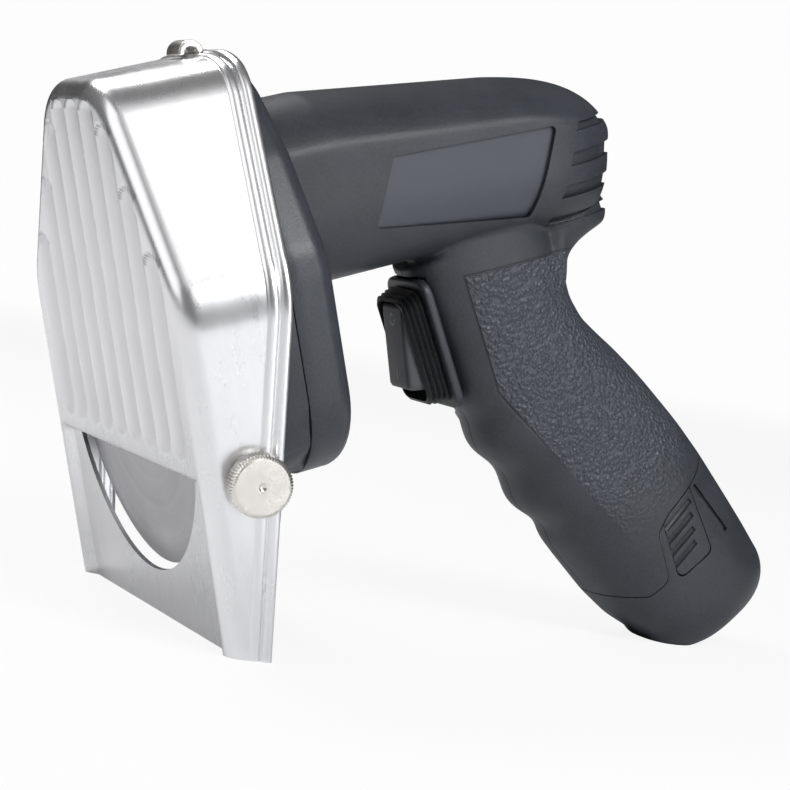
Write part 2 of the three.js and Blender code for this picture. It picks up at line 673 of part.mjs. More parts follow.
function makeBladeScrew() {
  const seat = BLADE_SET_BACK - FIT;
  return turned([
    [0, seat - BLADE_SCREW_HEAD], [BLADE_SCREW_HEAD_R - 0.4, seat - BLADE_SCREW_HEAD],
    [BLADE_SCREW_HEAD_R, seat], [BLADE_SCREW_R, seat],
    [BLADE_SCREW_R, seat + BLADE_SCREW_LENGTH], [0, seat + BLADE_SCREW_LENGTH],
  ]);
}

function makeSpindle() {
  const bore = BLADE_SCREW_R + FIT;
  const end = spindleX + SPINDLE_LENGTH;
  return turned([
    [bore, spindleX], [SPINDLE_R, spindleX], [SPINDLE_R, end - 1], [SPINDLE_R - 1, end], [0, end],
    [0, spindleX + BLADE_SCREW_LENGTH], [bore, spindleX + BLADE_SCREW_LENGTH],
  ]);
}

function makeBearing(radius, from, width) {
  const bore = SPINDLE_R + FIT;
  const chamfer = BEARING_CHAMFER;
  return turned([
    [bore, from], [radius, from], [radius, from + width - chamfer], [radius - chamfer, from + width],
    [bore, from + width],
  ]);
}

// A spur gear about X: each tooth is drawn in on its flanks and cut to length on its tip and root.
function makeGear(teeth, width, bore, from, z, firstTooth) {
  const pitch = GEAR_MODULE * teeth / 2;
  const tip = pitch + GEAR_MODULE * 0.85;
  const root = pitch - GEAR_MODULE * 1.25;
  const step = 2 * Math.PI / teeth;
  const flanks = [[root, -0.32], [tip, -0.09], [tip, 0.09], [root, 0.32]];
  const outline = Array.from({ length: teeth }, (_, i) => flanks.map(([radius, share]) => {
    const angle = firstTooth + step * (i + share);
    return [radius * Math.cos(angle), z + radius * Math.sin(angle)];
  })).flat();
  return cut(alongX(outline, from, from + width), rodX(bore, from - 1, from + width + 1, 0, z));
}

// The idler turns on a fixed pin: its pinion drives the spindle gear, its wheel meets the motor pinion.
function makeIdler() {
  const bore = IDLER_PIN_R + FIT;
  const length = GEAR_WIDTH + 2 * PINION_OVER;
  const gap = -Math.PI / 2 + Math.PI / IDLER_PINION_TEETH;
  return join(
    makeGear(IDLER_PINION_TEETH, length, bore, gearX - PINION_OVER, idlerZ, gap),
    makeGear(IDLER_WHEEL_TEETH, WHEEL_WIDTH, bore, gearX - PINION_OVER + length, idlerZ, Math.PI / 2));
}

// Motor

const motorX = CASE_REAR_X + SEAM;
const motorEnd = motorX + MOTOR_LENGTH;

function makeMotorCan() {
  const nose = MOTOR_NOSE_R - FIT;
  return moved(turned([
    [MOTOR_SHAFT_R + FIT, motorX - CASE_END_WALL], [nose, motorX - CASE_END_WALL], [nose, motorX],
    [MOTOR_R - 1, motorX], [MOTOR_R, motorX + 1], [MOTOR_R, motorEnd], [MOTOR_R - MOTOR_WALL, motorEnd],
    [MOTOR_R - MOTOR_WALL, motorX + MOTOR_WALL], [MOTOR_SHAFT_R + FIT, motorX + MOTOR_WALL],
  ], MOTOR_SIDES), new THREE.Matrix4().makeTranslation(0, 0, motorZ));
}

function makeMotorCap() {
  const from = motorEnd + FIT;
  const disc = moved(turned([
    [MOTOR_SHAFT_R + FIT, from], [MOTOR_R, from], [MOTOR_R, from + MOTOR_CAP / 2],
    [MOTOR_R / 2, from + MOTOR_CAP], [MOTOR_SHAFT_R + FIT, from + MOTOR_CAP],
  ]), new THREE.Matrix4().makeTranslation(0, 0, motorZ));
  const tab = (side) => box([from + 1, from + MOTOR_CAP + MOTOR_TAB.reach],
    [side * MOTOR_TAB.out - MOTOR_TAB.half, side * MOTOR_TAB.out + MOTOR_TAB.half],
    [motorZ - TAB_THICK / 2, motorZ + TAB_THICK / 2]);
  return join(disc, tab(-1), tab(1));
}

function makeMagnet(side) {
  const outer = MOTOR_R - MOTOR_WALL - FIT;
  const inner = outer - MAGNET_THICK;
  const half = MAGNET_SPAN / 2;
  const angles = Array.from({ length: MAGNET_STEPS + 1 },
    (_, i) => deg(side * 90 - half + MAGNET_SPAN * i / MAGNET_STEPS));
  const at = (radius) => (a) => [radius * Math.cos(a), motorZ + radius * Math.sin(a)];
  const outline = [...angles.map(at(outer)), ...angles.toReversed().map(at(inner))];
  return alongX(outline, motorX + MOTOR_WALL + FIT, motorEnd - FIT);
}

function makeRotor() {
  const middle = (motorX + motorEnd) / 2;
  const reach = MOTOR_R - MOTOR_WALL - MAGNET_THICK - FIT - RUNNING_GAP;
  const shaft = rodX(
    MOTOR_SHAFT_R, wheelX - 2 * PINION_OVER, motorEnd + MOTOR_CAP - 1, 0, motorZ, SMALL_ROUND);
  let core = rodX(reach, middle - ARMATURE_LENGTH / 2, middle + ARMATURE_LENGTH / 2, 0, motorZ);
  for (let i = 0; i < ARMATURE_SLOTS; i += 1) {
    const angle = 2 * Math.PI * i / ARMATURE_SLOTS;
    core = core.subtract(rodX(ARMATURE_SLOT_R, middle - ARMATURE_LENGTH, middle + ARMATURE_LENGTH,
      reach * Math.cos(angle), motorZ + reach * Math.sin(angle), SMALL_ROUND));
  }
  return join(shaft, core, rodX(MOTOR_SHAFT_R * 2, middle, motorEnd - 3, 0, motorZ, SMALL_ROUND));
}

// Body shells: barrel and grip in two halves

function squircle(count, across, up) {
  return Array.from({ length: count }, (_, i) => {
    const angle = 2 * Math.PI * i / count;
    const bend = (v) => Math.sign(v) * Math.abs(v) ** (2 / BODY_SQUARENESS);
    return [across * bend(Math.cos(angle)), up * bend(Math.sin(angle))];
  });
}

function barrelLoft(inset) {
  const start = CASE_REAR_X + FIT;
  const { lerp } = THREE.MathUtils;
  const along = [[start, 0], [start + BARREL_STRAIGHT, 0], [BARREL_TAIL_X, 1]].map(([x, share]) => ({
    x,
    middle: lerp(BARREL_FRONT.middle, BARREL_TAIL.middle, share),
    high: lerp(BARREL_FRONT.high, BARREL_TAIL.high, share),
    half: lerp(BARREL_FRONT.half, BARREL_TAIL.half, share),
    lean: 0,
  }));
  const tail = [0.42, 0.72, 0.9, 1].map((share) => ({
    x: lerp(BARREL_TAIL_X, BARREL_END_X, share),
    middle: BARREL_TAIL.middle - BARREL_END_DROP * share,
    high: BARREL_TAIL.high * Math.sqrt(1 - 0.68 * share ** 3),
    half: BARREL_TAIL.half * Math.sqrt(1 - 0.72 * share ** 3),
    lean: BARREL_END_LEAN * share,
  }));
  const rings = [...along, ...tail].map((s, i, all) => {
    const end = i === all.length - 1 ? inset : 0;
    return squircle(inset < BODY_WALL ? BARREL_SIDES : LINER_SIDES, s.half - inset, s.high - inset)
      .map(([y, z]) => new THREE.Vector3(s.x - end + s.lean * z, y, s.middle + z));
  });
  return loft(rings);
}

const gripDown = new THREE.Vector3(Math.sin(deg(GRIP_LEAN)), 0, -Math.cos(deg(GRIP_LEAN)));
const gripBack = new THREE.Vector3(Math.cos(deg(GRIP_LEAN)), 0, Math.sin(deg(GRIP_LEAN)));

// A point of the grip, from its distance down the axis, back from the axis and to the side.
function gripPoint(down, back, y = 0) {
  return new THREE.Vector3(GRIP_ORIGIN[0], y, GRIP_ORIGIN[1])
    .addScaledVector(gripDown, down).addScaledVector(gripBack, back);
}

const gripPlan = (pairs) => pairs.map(([down, back]) => {
  const { x, z } = gripPoint(down, back);
  return [x, z];
});

// Stations down the grip: distance, front and back outline, and share of the way from top to foot width.
const GRIP_STATIONS = [
  [-6, -21, 31.5, 0], [12, -24, 29, 0], [24, -27, 24, 0], [34, -29.6, 20.4, 0], [43, -30.4, 20, 0.1],
  [51, -30.4, 21.9, 0.2], [57, -30.4, 23.6, 0.3], [63, -30.3, 24.9, 0.4], [69, -30.2, 26.1, 0.5],
  [75, -29.9, 27.1, 0.6], [81, -29.5, 27.9, 0.7], [88, -28.8, 28.8, 0.8], [95, -28.4, 29.5, 0.9],
  [106, -27.9, 30.2, 0.95], [124, -26.2, 30.4, 1], [136, -23.7, 30.4, 1], [146, -19.7, 30, 0.95],
];
const GRIP_LAST = 146;
const LINER_LAST = 106;
const LINER_RISE = 10;
const FOOT_ROUND = 15.5;

function gripLoft(inset, lastStation, footDrop = 0) {
  const fingers = (down) => (down > 40 && down < 100
    ? FINGER_BUMP * Math.cos(2 * Math.PI * (down - FINGER_FIRST) / FINGER_PITCH) : 0);
  const every = inset < BODY_WALL ? 1 : 2;
  const stations = GRIP_STATIONS.filter(([down], i) => down <= lastStation && i % every === 0)
    .map(([down, front, back, share], i) => ({
      down: i || every === 1 ? down : down - LINER_RISE,
      front: front - fingers(down),
      back,
      half: THREE.MathUtils.lerp(GRIP_TOP_HALF, GRIP_FOOT_HALF, share),
    }));
  const last = stations.at(-1);
  if (footDrop) stations.push({ ...last, down: last.down + footDrop });
  else {
    for (const angle of [25, 50, 70, 84]) {
      const shrink = Math.cos(deg(angle));
      const centre = (last.front + last.back) / 2 + 1;
      stations.push({
        down: GRIP_END - FOOT_ROUND + FOOT_ROUND * Math.sin(deg(angle)),
        front: centre + (last.front - centre) * shrink ** 0.8,
        back: centre + (last.back - centre) * shrink ** 0.6,
        half: last.half * shrink ** 0.6,
      });
    }
  }
  const count = inset < BODY_WALL ? GRIP_SIDES : LINER_SIDES;
  return loft(stations.map((s) => squircle(count, (s.back - s.front) / 2 - inset, s.half - inset)
    .map(([back, y]) => gripPoint(s.down, back + (s.front + s.back) / 2, y))));
}

// The parting of grip and battery, from front to back, and the solid on the battery's side of it.
const PARTING = [[122, -40], [122, -26], [129, -16], [128, -8], [112, -3], [109, 4], [107, 18], [102, 45]];
const belowParting = (lift) => alongY(gripPlan([
  ...PARTING.map(([down, back]) => [down - lift, back]), [FAR, 45], [FAR, -40],
]).reverse(), -FAR, FAR);

const switchTurn = new THREE.Matrix4()
  .makeTranslation(SWITCH_AT[0], 0, SWITCH_AT[1])
  .multiply(new THREE.Matrix4().makeRotationY(-deg(SWITCH_LEAN)));
const onSwitch = (shape) => moved(shape, switchTurn);

function makeBody() {
  const skin = join(barrelLoft(0), gripLoft(0, GRIP_LAST));
  const bosses = BODY_SCREWS.map(([x, z]) => rodY(BODY_BOSS_R, -FAR, FAR, x, z, SMALL_ROUND));
  const room = cut(join(barrelLoft(BODY_WALL), gripLoft(BODY_WALL, LINER_LAST, FAR)), ...bosses);
  const frontMouth = box([CASE_REAR_X, CASE_REAR_X + BODY_WALL * 2], [-FAR, FAR], [-FAR, FAR])
    .intersect(moved(barrelLoft(BODY_WALL), new THREE.Matrix4().makeTranslation(-BODY_WALL, 0, 0)));
  const land = onSwitch(box([-SWITCH_CLEAR, FRAME_THICK + FIT], [-FAR, FAR],
    [-FRAME_HALF[1] - 2, FRAME_HALF[1] + 1]));
  const switchWell = onSwitch(box([-SWITCH_CLEAR, SWITCH_DEPTH + 10],
    [-SWITCH_HALF[0] - FIT, SWITCH_HALF[0] + FIT], [-SWITCH_HALF[1] - FIT, SWITCH_HALF[1] + FIT]));
  const barrelOnly = barrelLoft(BODY_WALL / 2);
  const vents = Array.from({ length: VENT_COUNT }, (_, i) => box([VENT_X, FAR], [-FAR, FAR],
    [VENT_Z + VENT_PITCH * i, VENT_Z + VENT_PITCH * i + VENT_HEIGHT]));
  const ventTool = cut(join(...vents), barrelLoft(VENT_DEPTH));
  const label = alongY(rounded(LABEL_CORNERS, LABEL_CORNERS.map(() => LABEL_ROUND)), -FAR, 0);
  const labelTool = cut(label, barrelLoft(LABEL_DEPTH), gripLoft(LABEL_DEPTH, GRIP_LAST));
  return cut(skin, room, frontMouth, cut(land, barrelOnly), switchWell, ventTool, labelTool, belowParting(0));
}

const halves = { left: [-FAR, -FIT / 2], right: [FIT / 2, FAR] };

// How far the body's skin reaches to the right at a screw.
function skinReach(x, z, body) {
  const probe = rodY(FIT, 0, FAR, x, z, 6).intersect(body);
  return probe.boundingBox().max[1];
}

function bodyScrewSeat([x, z], body) {
  return skinReach(x, z, body) - BODY_SCREW_SUNK - BODY_SCREW_HEAD;
}

function makeBodyHalf(side, body) {
  const screwTools = BODY_SCREWS.flatMap((at) => {
    const seat = bodyScrewSeat(at, body);
    return [rodY(BODY_SCREW_HEAD_R + FIT, seat - FIT, FAR, ...at, SMALL_ROUND),
      rodY(BODY_SCREW_R + FIT, -BODY_SCREW_REACH - FIT, FAR, ...at, SMALL_ROUND)];
  });
  return cut(body.intersect(box([-FAR, FAR], halves[side], [-FAR, FAR])), ...screwTools);
}

function makeBodyScrew(at, body) {
  const seat = bodyScrewSeat(at, body);
  const head = rodY(BODY_SCREW_HEAD_R, seat, seat + BODY_SCREW_HEAD, ...at, SMALL_ROUND);
  const shank = rodY(BODY_SCREW_R, -BODY_SCREW_REACH, seat + 1, ...at, SMALL_ROUND);
  const drive = box([at[0] - 2, at[0] + 2], [seat + BODY_SCREW_HEAD - 1, FAR], [at[1] - 0.45, at[1] + 0.45]);
  return cut(join(head, shank), drive);
}

// Rocker switch, drawn in its own frame: X into the grip, Z up along the frame plate

function makeSwitchFrame() {
  const opening = roundedBox(ROCKER_HALF[0] + RUNNING_GAP, ROCKER_HALF[1] + 2 * RUNNING_GAP, 2);
  const outer = roundedBox(...FRAME_HALF, FRAME_ROUND);
  return onSwitch(cut(alongX(outer, 0, FRAME_THICK), alongX(opening, -1, FRAME_THICK + 1)));
}

function makeSwitchBody() {
  const from = FRAME_THICK + FIT;
  const block = alongX(roundedBox(SWITCH_HALF[0], SWITCH_HALF[1], 1.5), from, from + SWITCH_DEPTH);
  const tabs = [-SWITCH_TAB.out, SWITCH_TAB.out].map((z) => box(
    [from + SWITCH_DEPTH - 1, from + SWITCH_DEPTH + SWITCH_TAB.reach],
    [-SWITCH_TAB.half, SWITCH_TAB.half], [z - TAB_THICK / 2, z + TAB_THICK / 2]));
  return onSwitch(join(block, ...tabs));
}

const rockerPivot = FRAME_THICK - 1;

function makeRocker() {
  const cap = loft([[0, 1.4], [0.25, 0.5], [0.7, 0], [1, 0]].map(([share, inset]) => atX(
    roundedBox(ROCKER_HALF[0] - inset, ROCKER_HALF[1] - inset, 2.4), -ROCKER_FRONT + share * ROCKER_FRONT)));
  const ear = rodY(ROCKER_EAR_R, -ROCKER_HALF[0] + 1, ROCKER_HALF[0] - 1, 0, 0);
  const about = new THREE.Matrix4().makeTranslation(rockerPivot, 0, 0)
    .multiply(new THREE.Matrix4().makeRotationY(deg(ROCKER_TILT)))
    .multiply(new THREE.Matrix4().makeTranslation(-rockerPivot, 0, 0));
  return onSwitch(moved(join(cap, ear), about));
}

function makeBoot() {
  const inner = [ROCKER_HALF[0] + RUNNING_GAP * 0.8, ROCKER_HALF[1] + RUNNING_GAP * 2.2];
  const rise = BOOT_HEIGHT / (2 * BOOT_PLEATS);
  const rings = Array.from({ length: 2 * BOOT_PLEATS + 1 }, (_, i) => {
    const swell = BOOT_WALL - (i % 2 ? 0 : BOOT_FOLD) - BOOT_TAPER * i;
    return atX(roundedBox(inner[0] + swell, inner[1] + swell, 4), -FIT - rise * i);
  });
  return onSwitch(cut(loft(rings), alongX(roundedBox(...inner, 2.6), -FAR, FAR)));
}

// Battery

const cellPlaces = [CELL_MIDDLE - CELL_PITCH / 2, CELL_MIDDLE + CELL_PITCH / 2];
const stemTop = CELL_TOP - FIT;
const capTop = stemTop - FIT - BATTERY_CAP;

// A solid drawn with X down the grip's axis, Y to the right and Z to the front.
const gripTurn = new THREE.Matrix4()
  .makeBasis(gripDown, new THREE.Vector3(0, 1, 0), gripBack.clone().negate())
  .setPosition(GRIP_ORIGIN[0], 0, GRIP_ORIGIN[1]);
const onGrip = (shape) => moved(shape, gripTurn);

function stemOutline() {
  const reach = CELL_PITCH / 2 + CELL_R + BATTERY_WALL;
  return roundedBox(CELL_R + BATTERY_WALL, reach, STEM_ROUND).map(([y, z]) => [y, z - CELL_MIDDLE]);
}

function makeBatteryCase() {
  const foot = gripLoft(0, GRIP_LAST).intersect(belowParting(-SEAM));
  const stem = onGrip(alongX(stemOutline(), stemTop, STEM_END));
  const boreEnd = CELL_TOP + CELL_LENGTH + FIT;
  const bores = cellPlaces.map((back) => onGrip(rodX(CELL_R + FIT, 0, boreEnd, 0, -back)));
  const pockets = [-1, 1].map((side) => latchBlock(side, -SEAM, LATCH_PRESS + SEAM));
  return cut(join(foot, stem), ...bores, ...pockets, GROUND);
}

// The block that a latch button takes up, grown by a gap all round and deeper by some room to move.
function latchBlock(side, inset, deeper) {
  const outline = rounded(grown(LATCH_CORNERS, -inset), LATCH_CORNERS.map(() => LATCH_ROUND), 4);
  const low = GRIP_FOOT_HALF - LATCH_THICK - deeper;
  const span = [side * low, side * FAR].sort((a, b) => a - b);
  return alongY(gripPlan(outline), ...span);
}

function makeLatch(side) {
  const across = new THREE.Matrix4()
    .makeBasis(gripBack, new THREE.Vector3(0, 1, 0), gripDown.clone().negate());
  const grooves = Array.from({ length: LATCH_GROOVES }, (_, i) => {
    const [down, back] = LATCH_GROOVE_FIRST.map((start, k) => start + LATCH_GROOVE_STEP[k] * i);
    const tool = rodX(LATCH_GROOVE_R, ...LATCH_GROOVE_SPAN, side * GRIP_FOOT_HALF, 0, SMALL_ROUND);
    return moved(tool, across.clone().setPosition(gripPoint(down, back)));
  });
  const button = latchBlock(side, 0, 0).intersect(gripLoft(0, GRIP_LAST)).intersect(belowParting(-SEAM));
  return cut(button, ...grooves);
}

function makeBatteryCap() {
  const slots = [-1, 1].map((side) => contactBlock(side, FIT + SEAM, 0));
  return cut(onGrip(alongX(stemOutline(), capTop, capTop + BATTERY_CAP)), ...slots);
}

const terminalEnd = capTop - SEAM;

function contactBlock(side, grow, deep) {
  const y = side * CONTACT_APART;
  return onGrip(box([terminalEnd - CONTACT_REACH - deep, terminalEnd + CONTACT_REACH / 2 + grow],
    [y - CONTACT_THICK / 2 - grow, y + CONTACT_THICK / 2 + grow],
    [-CELL_MIDDLE - CONTACT_WIDE / 2 - grow, -CELL_MIDDLE + CONTACT_WIDE / 2 + grow]));
}

function makeTerminalBlock() {
  const block = onGrip(box([terminalEnd - TERMINAL_LENGTH, terminalEnd],
    [-TERMINAL_HALF, TERMINAL_HALF], [-CELL_MIDDLE - TERMINAL_DEEP, -CELL_MIDDLE + TERMINAL_DEEP]));
  return cut(block, ...[-1, 1].map((side) => contactBlock(side, FIT, FIT)));
}

// The tree of parts

const tool = new THREE.Group();
tool.rotation.y = -deg(STAND_PITCH);

const finishes = {
  cast: { color: 0xd4d3d6, roughness: 0.3, metalness: 1 },
  nickel: { color: 0xe0dcd6, roughness: 0.22, metalness: 1 },
  steel: { color: 0x9b999e, roughness: 0.38, metalness: 1 },
  darkSteel: { color: 0x55565a, roughness: 0.45, metalness: 1 },
  plastic: { color: 0x2a2d32, roughness: 0.55, metalness: 0 },
  casing: { color: 0x33373d, roughness: 0.5, metalness: 0 },
  rubber: { color: 0x1c1d20, roughness: 0.75, metalness: 0 },
  magnet: { color: 0x2b2b2d, roughness: 0.8, metalness: 0 },
  brass: { color: 0xb8954f, roughness: 0.35, metalness: 1 },
  wrap: { color: 0x2f6f8f, roughness: 0.5, metalness: 0 },
};

function add(name, shape, finish) {
  const { vertProperties, triVerts } = shape.getMesh();
  const geometry = new THREE.BufferGeometry();
  geometry.setAttribute('position', new THREE.BufferAttribute(new Float32Array(vertProperties), 3));
  geometry.setIndex(new THREE.BufferAttribute(new Uint32Array(triVerts), 1));
  geometry.computeVertexNormals();
  const mesh = new THREE.Mesh(geometry, new THREE.MeshStandardMaterial(finishes[finish]));
  mesh.name = name;
  tool.add(mesh);
}

const sides = { left: -1, right: 1 };

add('guard', makeGuard(), 'cast');
add('guard_hook', makeHook(), 'nickel');
for (const [name, side] of Object.entries(sides)) add(`thumb_screw_${name}`, makeThumbScrew(side), 'nickel');

add('blade', makeBlade(), 'steel');
add('blade_hub', makeHub(), 'steel');
add('blade_screw', makeBladeScrew(), 'steel');
add('spindle', makeSpindle(), 'darkSteel');
add('spindle_gear', makeGear(SPINDLE_TEETH, GEAR_WIDTH, SPINDLE_R + FIT, gearX, 0, Math.PI / 2), 'darkSteel');
add('idler_gear', makeIdler(), 'darkSteel');
const pinEnd = CASE_REAR_X - CASE_END_WALL - FIT;
add('idler_pin', rodX(IDLER_PIN_R, frontBearingX + FIT, pinEnd, 0, idlerZ, SMALL_ROUND), 'steel');
add('spindle_bearing_front', makeBearing(FRONT_BEARING_R, frontBearingX, FRONT_BEARING_WIDTH), 'steel');
add('spindle_bearing_rear', makeBearing(REAR_BEARING_R, rearBearingX, REAR_BEARING_WIDTH), 'steel');
add('spindle_seal', ring(SPINDLE_R + FIT, SEAL_R, CASE_FRONT_X + FIT, frontBearingX - FIT), 'rubber');

add('gear_case_front', makeCaseFront(), 'casing');
add('gear_case_rear', makeCaseRear(), 'casing');
caseScrews.forEach((at, i) => add(`case_screw_${i + 1}`, makeCaseScrew(at), 'darkSteel'));

const pinionTurn = -Math.PI / 2 + Math.PI / MOTOR_TEETH;
add('motor_pinion',
  makeGear(MOTOR_TEETH, WHEEL_WIDTH, MOTOR_SHAFT_R + FIT, wheelX, motorZ, pinionTurn), 'darkSteel');
add('motor_rotor', makeRotor(), 'darkSteel');
add('motor_can', makeMotorCan(), 'steel');
add('motor_magnet_upper', makeMagnet(1), 'magnet');
add('motor_magnet_lower', makeMagnet(-1), 'magnet');
add('motor_end_cap', makeMotorCap(), 'plastic');

const body = makeBody();
for (const name of Object.keys(sides)) add(`body_shell_${name}`, makeBodyHalf(name, body), 'plastic');
BODY_SCREWS.forEach((at, i) => add(`body_screw_${i + 1}`, makeBodyScrew(at, body), 'darkSteel'));

add('switch_frame', makeSwitchFrame(), 'plastic');
add('switch_body', makeSwitchBody(), 'plastic');
add('switch_rocker', makeRocker(), 'rubber');
add('switch_boot', makeBoot(), 'rubber');

add('battery_case', makeBatteryCase(), 'plastic');
add('battery_cap', makeBatteryCap(), 'plastic');
cellPlaces.forEach((back, i) => add(`battery_cell_${i + 1}`,
  onGrip(rodX(CELL_R, CELL_TOP, CELL_TOP + CELL_LENGTH, 0, -back)), 'wrap'));
for (const [name, side] of Object.entries(sides)) add(`battery_latch_${name}`, makeLatch(side), 'plastic');
add('terminal_block', makeTerminalBlock(), 'plastic');
for (const [name, side] of Object.entries(sides)) {
  add(`terminal_contact_${name}`, contactBlock(side, 0, 0), 'brass');
}

// Stand the tool on the ground, with the middle of its base at the origin.
const slicer = new THREE.Group();
slicer.add(tool);
tool.updateMatrixWorld(true);
const extent = new THREE.Box3().setFromObject(tool, true);
const base = extent.getCenter(new THREE.Vector3());
tool.position.set(-base.x, -base.y, -extent.min.z);

export default slicer;
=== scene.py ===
# Kebab slicer: smooth castings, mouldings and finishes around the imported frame.
import json
import math

import bpy
import numpy as np
from mathutils import Matrix, Vector


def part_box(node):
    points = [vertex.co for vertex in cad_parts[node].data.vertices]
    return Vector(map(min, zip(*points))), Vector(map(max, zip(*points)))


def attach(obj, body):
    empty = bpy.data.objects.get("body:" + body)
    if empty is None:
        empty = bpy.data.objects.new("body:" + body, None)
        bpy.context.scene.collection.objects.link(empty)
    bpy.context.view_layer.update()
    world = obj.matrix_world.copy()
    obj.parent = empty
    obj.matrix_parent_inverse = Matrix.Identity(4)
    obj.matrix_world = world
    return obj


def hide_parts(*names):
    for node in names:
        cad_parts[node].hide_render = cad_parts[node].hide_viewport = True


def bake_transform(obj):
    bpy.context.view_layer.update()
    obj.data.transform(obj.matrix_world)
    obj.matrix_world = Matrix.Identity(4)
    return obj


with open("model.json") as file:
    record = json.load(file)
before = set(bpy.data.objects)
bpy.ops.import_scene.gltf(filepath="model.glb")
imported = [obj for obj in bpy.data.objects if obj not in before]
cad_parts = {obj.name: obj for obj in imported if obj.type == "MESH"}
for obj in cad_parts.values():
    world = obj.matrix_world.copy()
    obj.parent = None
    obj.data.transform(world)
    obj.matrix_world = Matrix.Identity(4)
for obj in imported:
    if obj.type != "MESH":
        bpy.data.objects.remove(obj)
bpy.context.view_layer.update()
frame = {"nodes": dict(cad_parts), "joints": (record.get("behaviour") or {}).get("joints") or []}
print("frame loaded")

mm = 0.001
mergeReach = 2e-6
rad = math.radians
slope = lambda degrees: math.tan(rad(degrees))

# The tool's own frame: X back along the blade axis, Y to the right, Z up in the blade's plane, in mm.
spin = next(joint for joint in frame["joints"] if joint["name"] == "blade_spin")
toolX = Vector(spin["axis"]).normalized()
toolY = Vector((0, 1, 0))
toolZ = toolX.cross(toolY)
toolPlace = Vector(spin["pos_m"])
toolTurn = Matrix((toolX, toolY, toolZ)).transposed().to_4x4()
toolToRow = Matrix.Translation(toolPlace) @ toolTurn @ Matrix.Scale(mm, 4)


def lerp(a, b, share):
    return a + (b - a) * share


def smoothStep(low, high, value):
    share = np.clip((value - low) / (high - low), 0, 1)
    return share * share * (3 - 2 * share)


# Modelling by operators


def pick(*pieces):
    if bpy.context.object and bpy.context.object.mode != "OBJECT":
        bpy.ops.object.mode_set(mode="OBJECT")
    bpy.ops.object.select_all(action="DESELECT")
    for piece in pieces:
        piece.select_set(True)
    if pieces:
        bpy.context.view_layer.objects.active = pieces[0]


def tidyMesh(piece, caps=False):
    pick(piece)
    bpy.ops.object.mode_set(mode="EDIT")
    bpy.ops.mesh.select_all(action="SELECT")
    bpy.ops.mesh.remove_doubles(threshold=mergeReach)
    if caps:
        bpy.ops.mesh.fill_holes(sides=0)
    bpy.ops.mesh.normals_make_consistent(inside=False)
    bpy.ops.object.mode_set(mode="OBJECT")
    return piece


def gridPiece(name, rows, caps=False, turn=Matrix()):
    # a grid whose rows of points are moved into place, then merged where they meet
    pick()
    bpy.ops.mesh.primitive_grid_add(x_subdivisions=len(rows[0]) - 1, y_subdivisions=len(rows) - 1, size=1)
    piece = bpy.context.object
    piece.name = piece.data.name = name
    place = toolToRow @ turn
    flat = [value for row in rows for point in row for value in place @ Vector(point)]
    piece.data.vertices.foreach_set("co", flat)
    return tidyMesh(piece, caps)


def ringPiece(name, rings, turn=Matrix()):
    return gridPiece(name, [list(ring) + [ring[0]] for ring in rings], True, turn)


def prism(name, outline, along, low, high, turn=Matrix()):
    # an outline in Y and Z swept along X, or one in X and Z swept along Y
    lay = (lambda a, b, d: (d, a, b)) if along == "x" else (lambda a, b, d: (a, d, b))
    return ringPiece(name, [[lay(a, b, depth) for a, b in outline] for depth in (low, high)], turn)


def lathe(name, profile, sides, turn=Matrix(), radius=None):
    # [radius, x] pairs turned about X, with an optional change of radius around
    angles = [2 * math.pi * i / sides for i in range(sides)]
    around = radius or (lambda r, x, angle: r)
    rings = [[(x, around(r, x, a) * math.cos(a), around(r, x, a) * math.sin(a)) for a in angles]
             for r, x in profile]
    return ringPiece(name, rings, turn)


def applied(piece, kind, **settings):
    pick(piece)
    modifier = piece.modifiers.new(kind.lower(), kind)
    for key, value in settings.items():
        setattr(modifier, key, value)
    bpy.ops.object.modifier_apply(modifier=modifier.name)
    return piece


def carve(piece, *cutters, how="DIFFERENCE"):
    for cutter in cutters:
        applied(piece, "BOOLEAN", operation=how, object=cutter, solver="EXACT")
        bpy.data.objects.remove(cutter)
    return piece


def sliced(piece, point, away, fill=True):
    # cuts off what lies on the far side of a plane, in the row frame
    pick(piece)
    bpy.ops.object.mode_set(mode="EDIT")
    bpy.ops.mesh.select_all(action="SELECT")
    bpy.ops.mesh.bisect(plane_co=point, plane_no=away, use_fill=fill, clear_outer=True)
    bpy.ops.object.mode_set(mode="OBJECT")
    return piece


def copied(piece, name):
    pick(piece)
    bpy.ops.object.duplicate()
    twin = bpy.context.object
    twin.name = twin.data.name = name
    return twin


def joined(*pieces):
    pick(*pieces)
    bpy.ops.object.join()
    return bpy.context.object


def beveled(piece, width, segments=3, angle=30):
    return applied(piece, "BEVEL", width=width * mm, segments=segments, limit_method="ANGLE",
                   angle_limit=rad(angle), harden_normals=False)


def smoothed(piece, angle=35):
    pick(piece)
    bpy.ops.object.shade_smooth_by_angle(angle=rad(angle))
    return piece


def nodeCopy(node, name):
    # a merged copy of a CAD node, ready for bevels and smooth shading
    twin = copied(frame["nodes"][node], name)
    twin.parent = None
    twin.data.materials.clear()
    for key in list(twin.keys()):
        del twin[key]
    return tidyMesh(twin)


def dressed(piece, material, body, slot, *nodes):
    piece.data.materials.clear()
    piece.data.materials.append(material)
    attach(piece, body)
    if nodes:
        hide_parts(*nodes)
    return piece


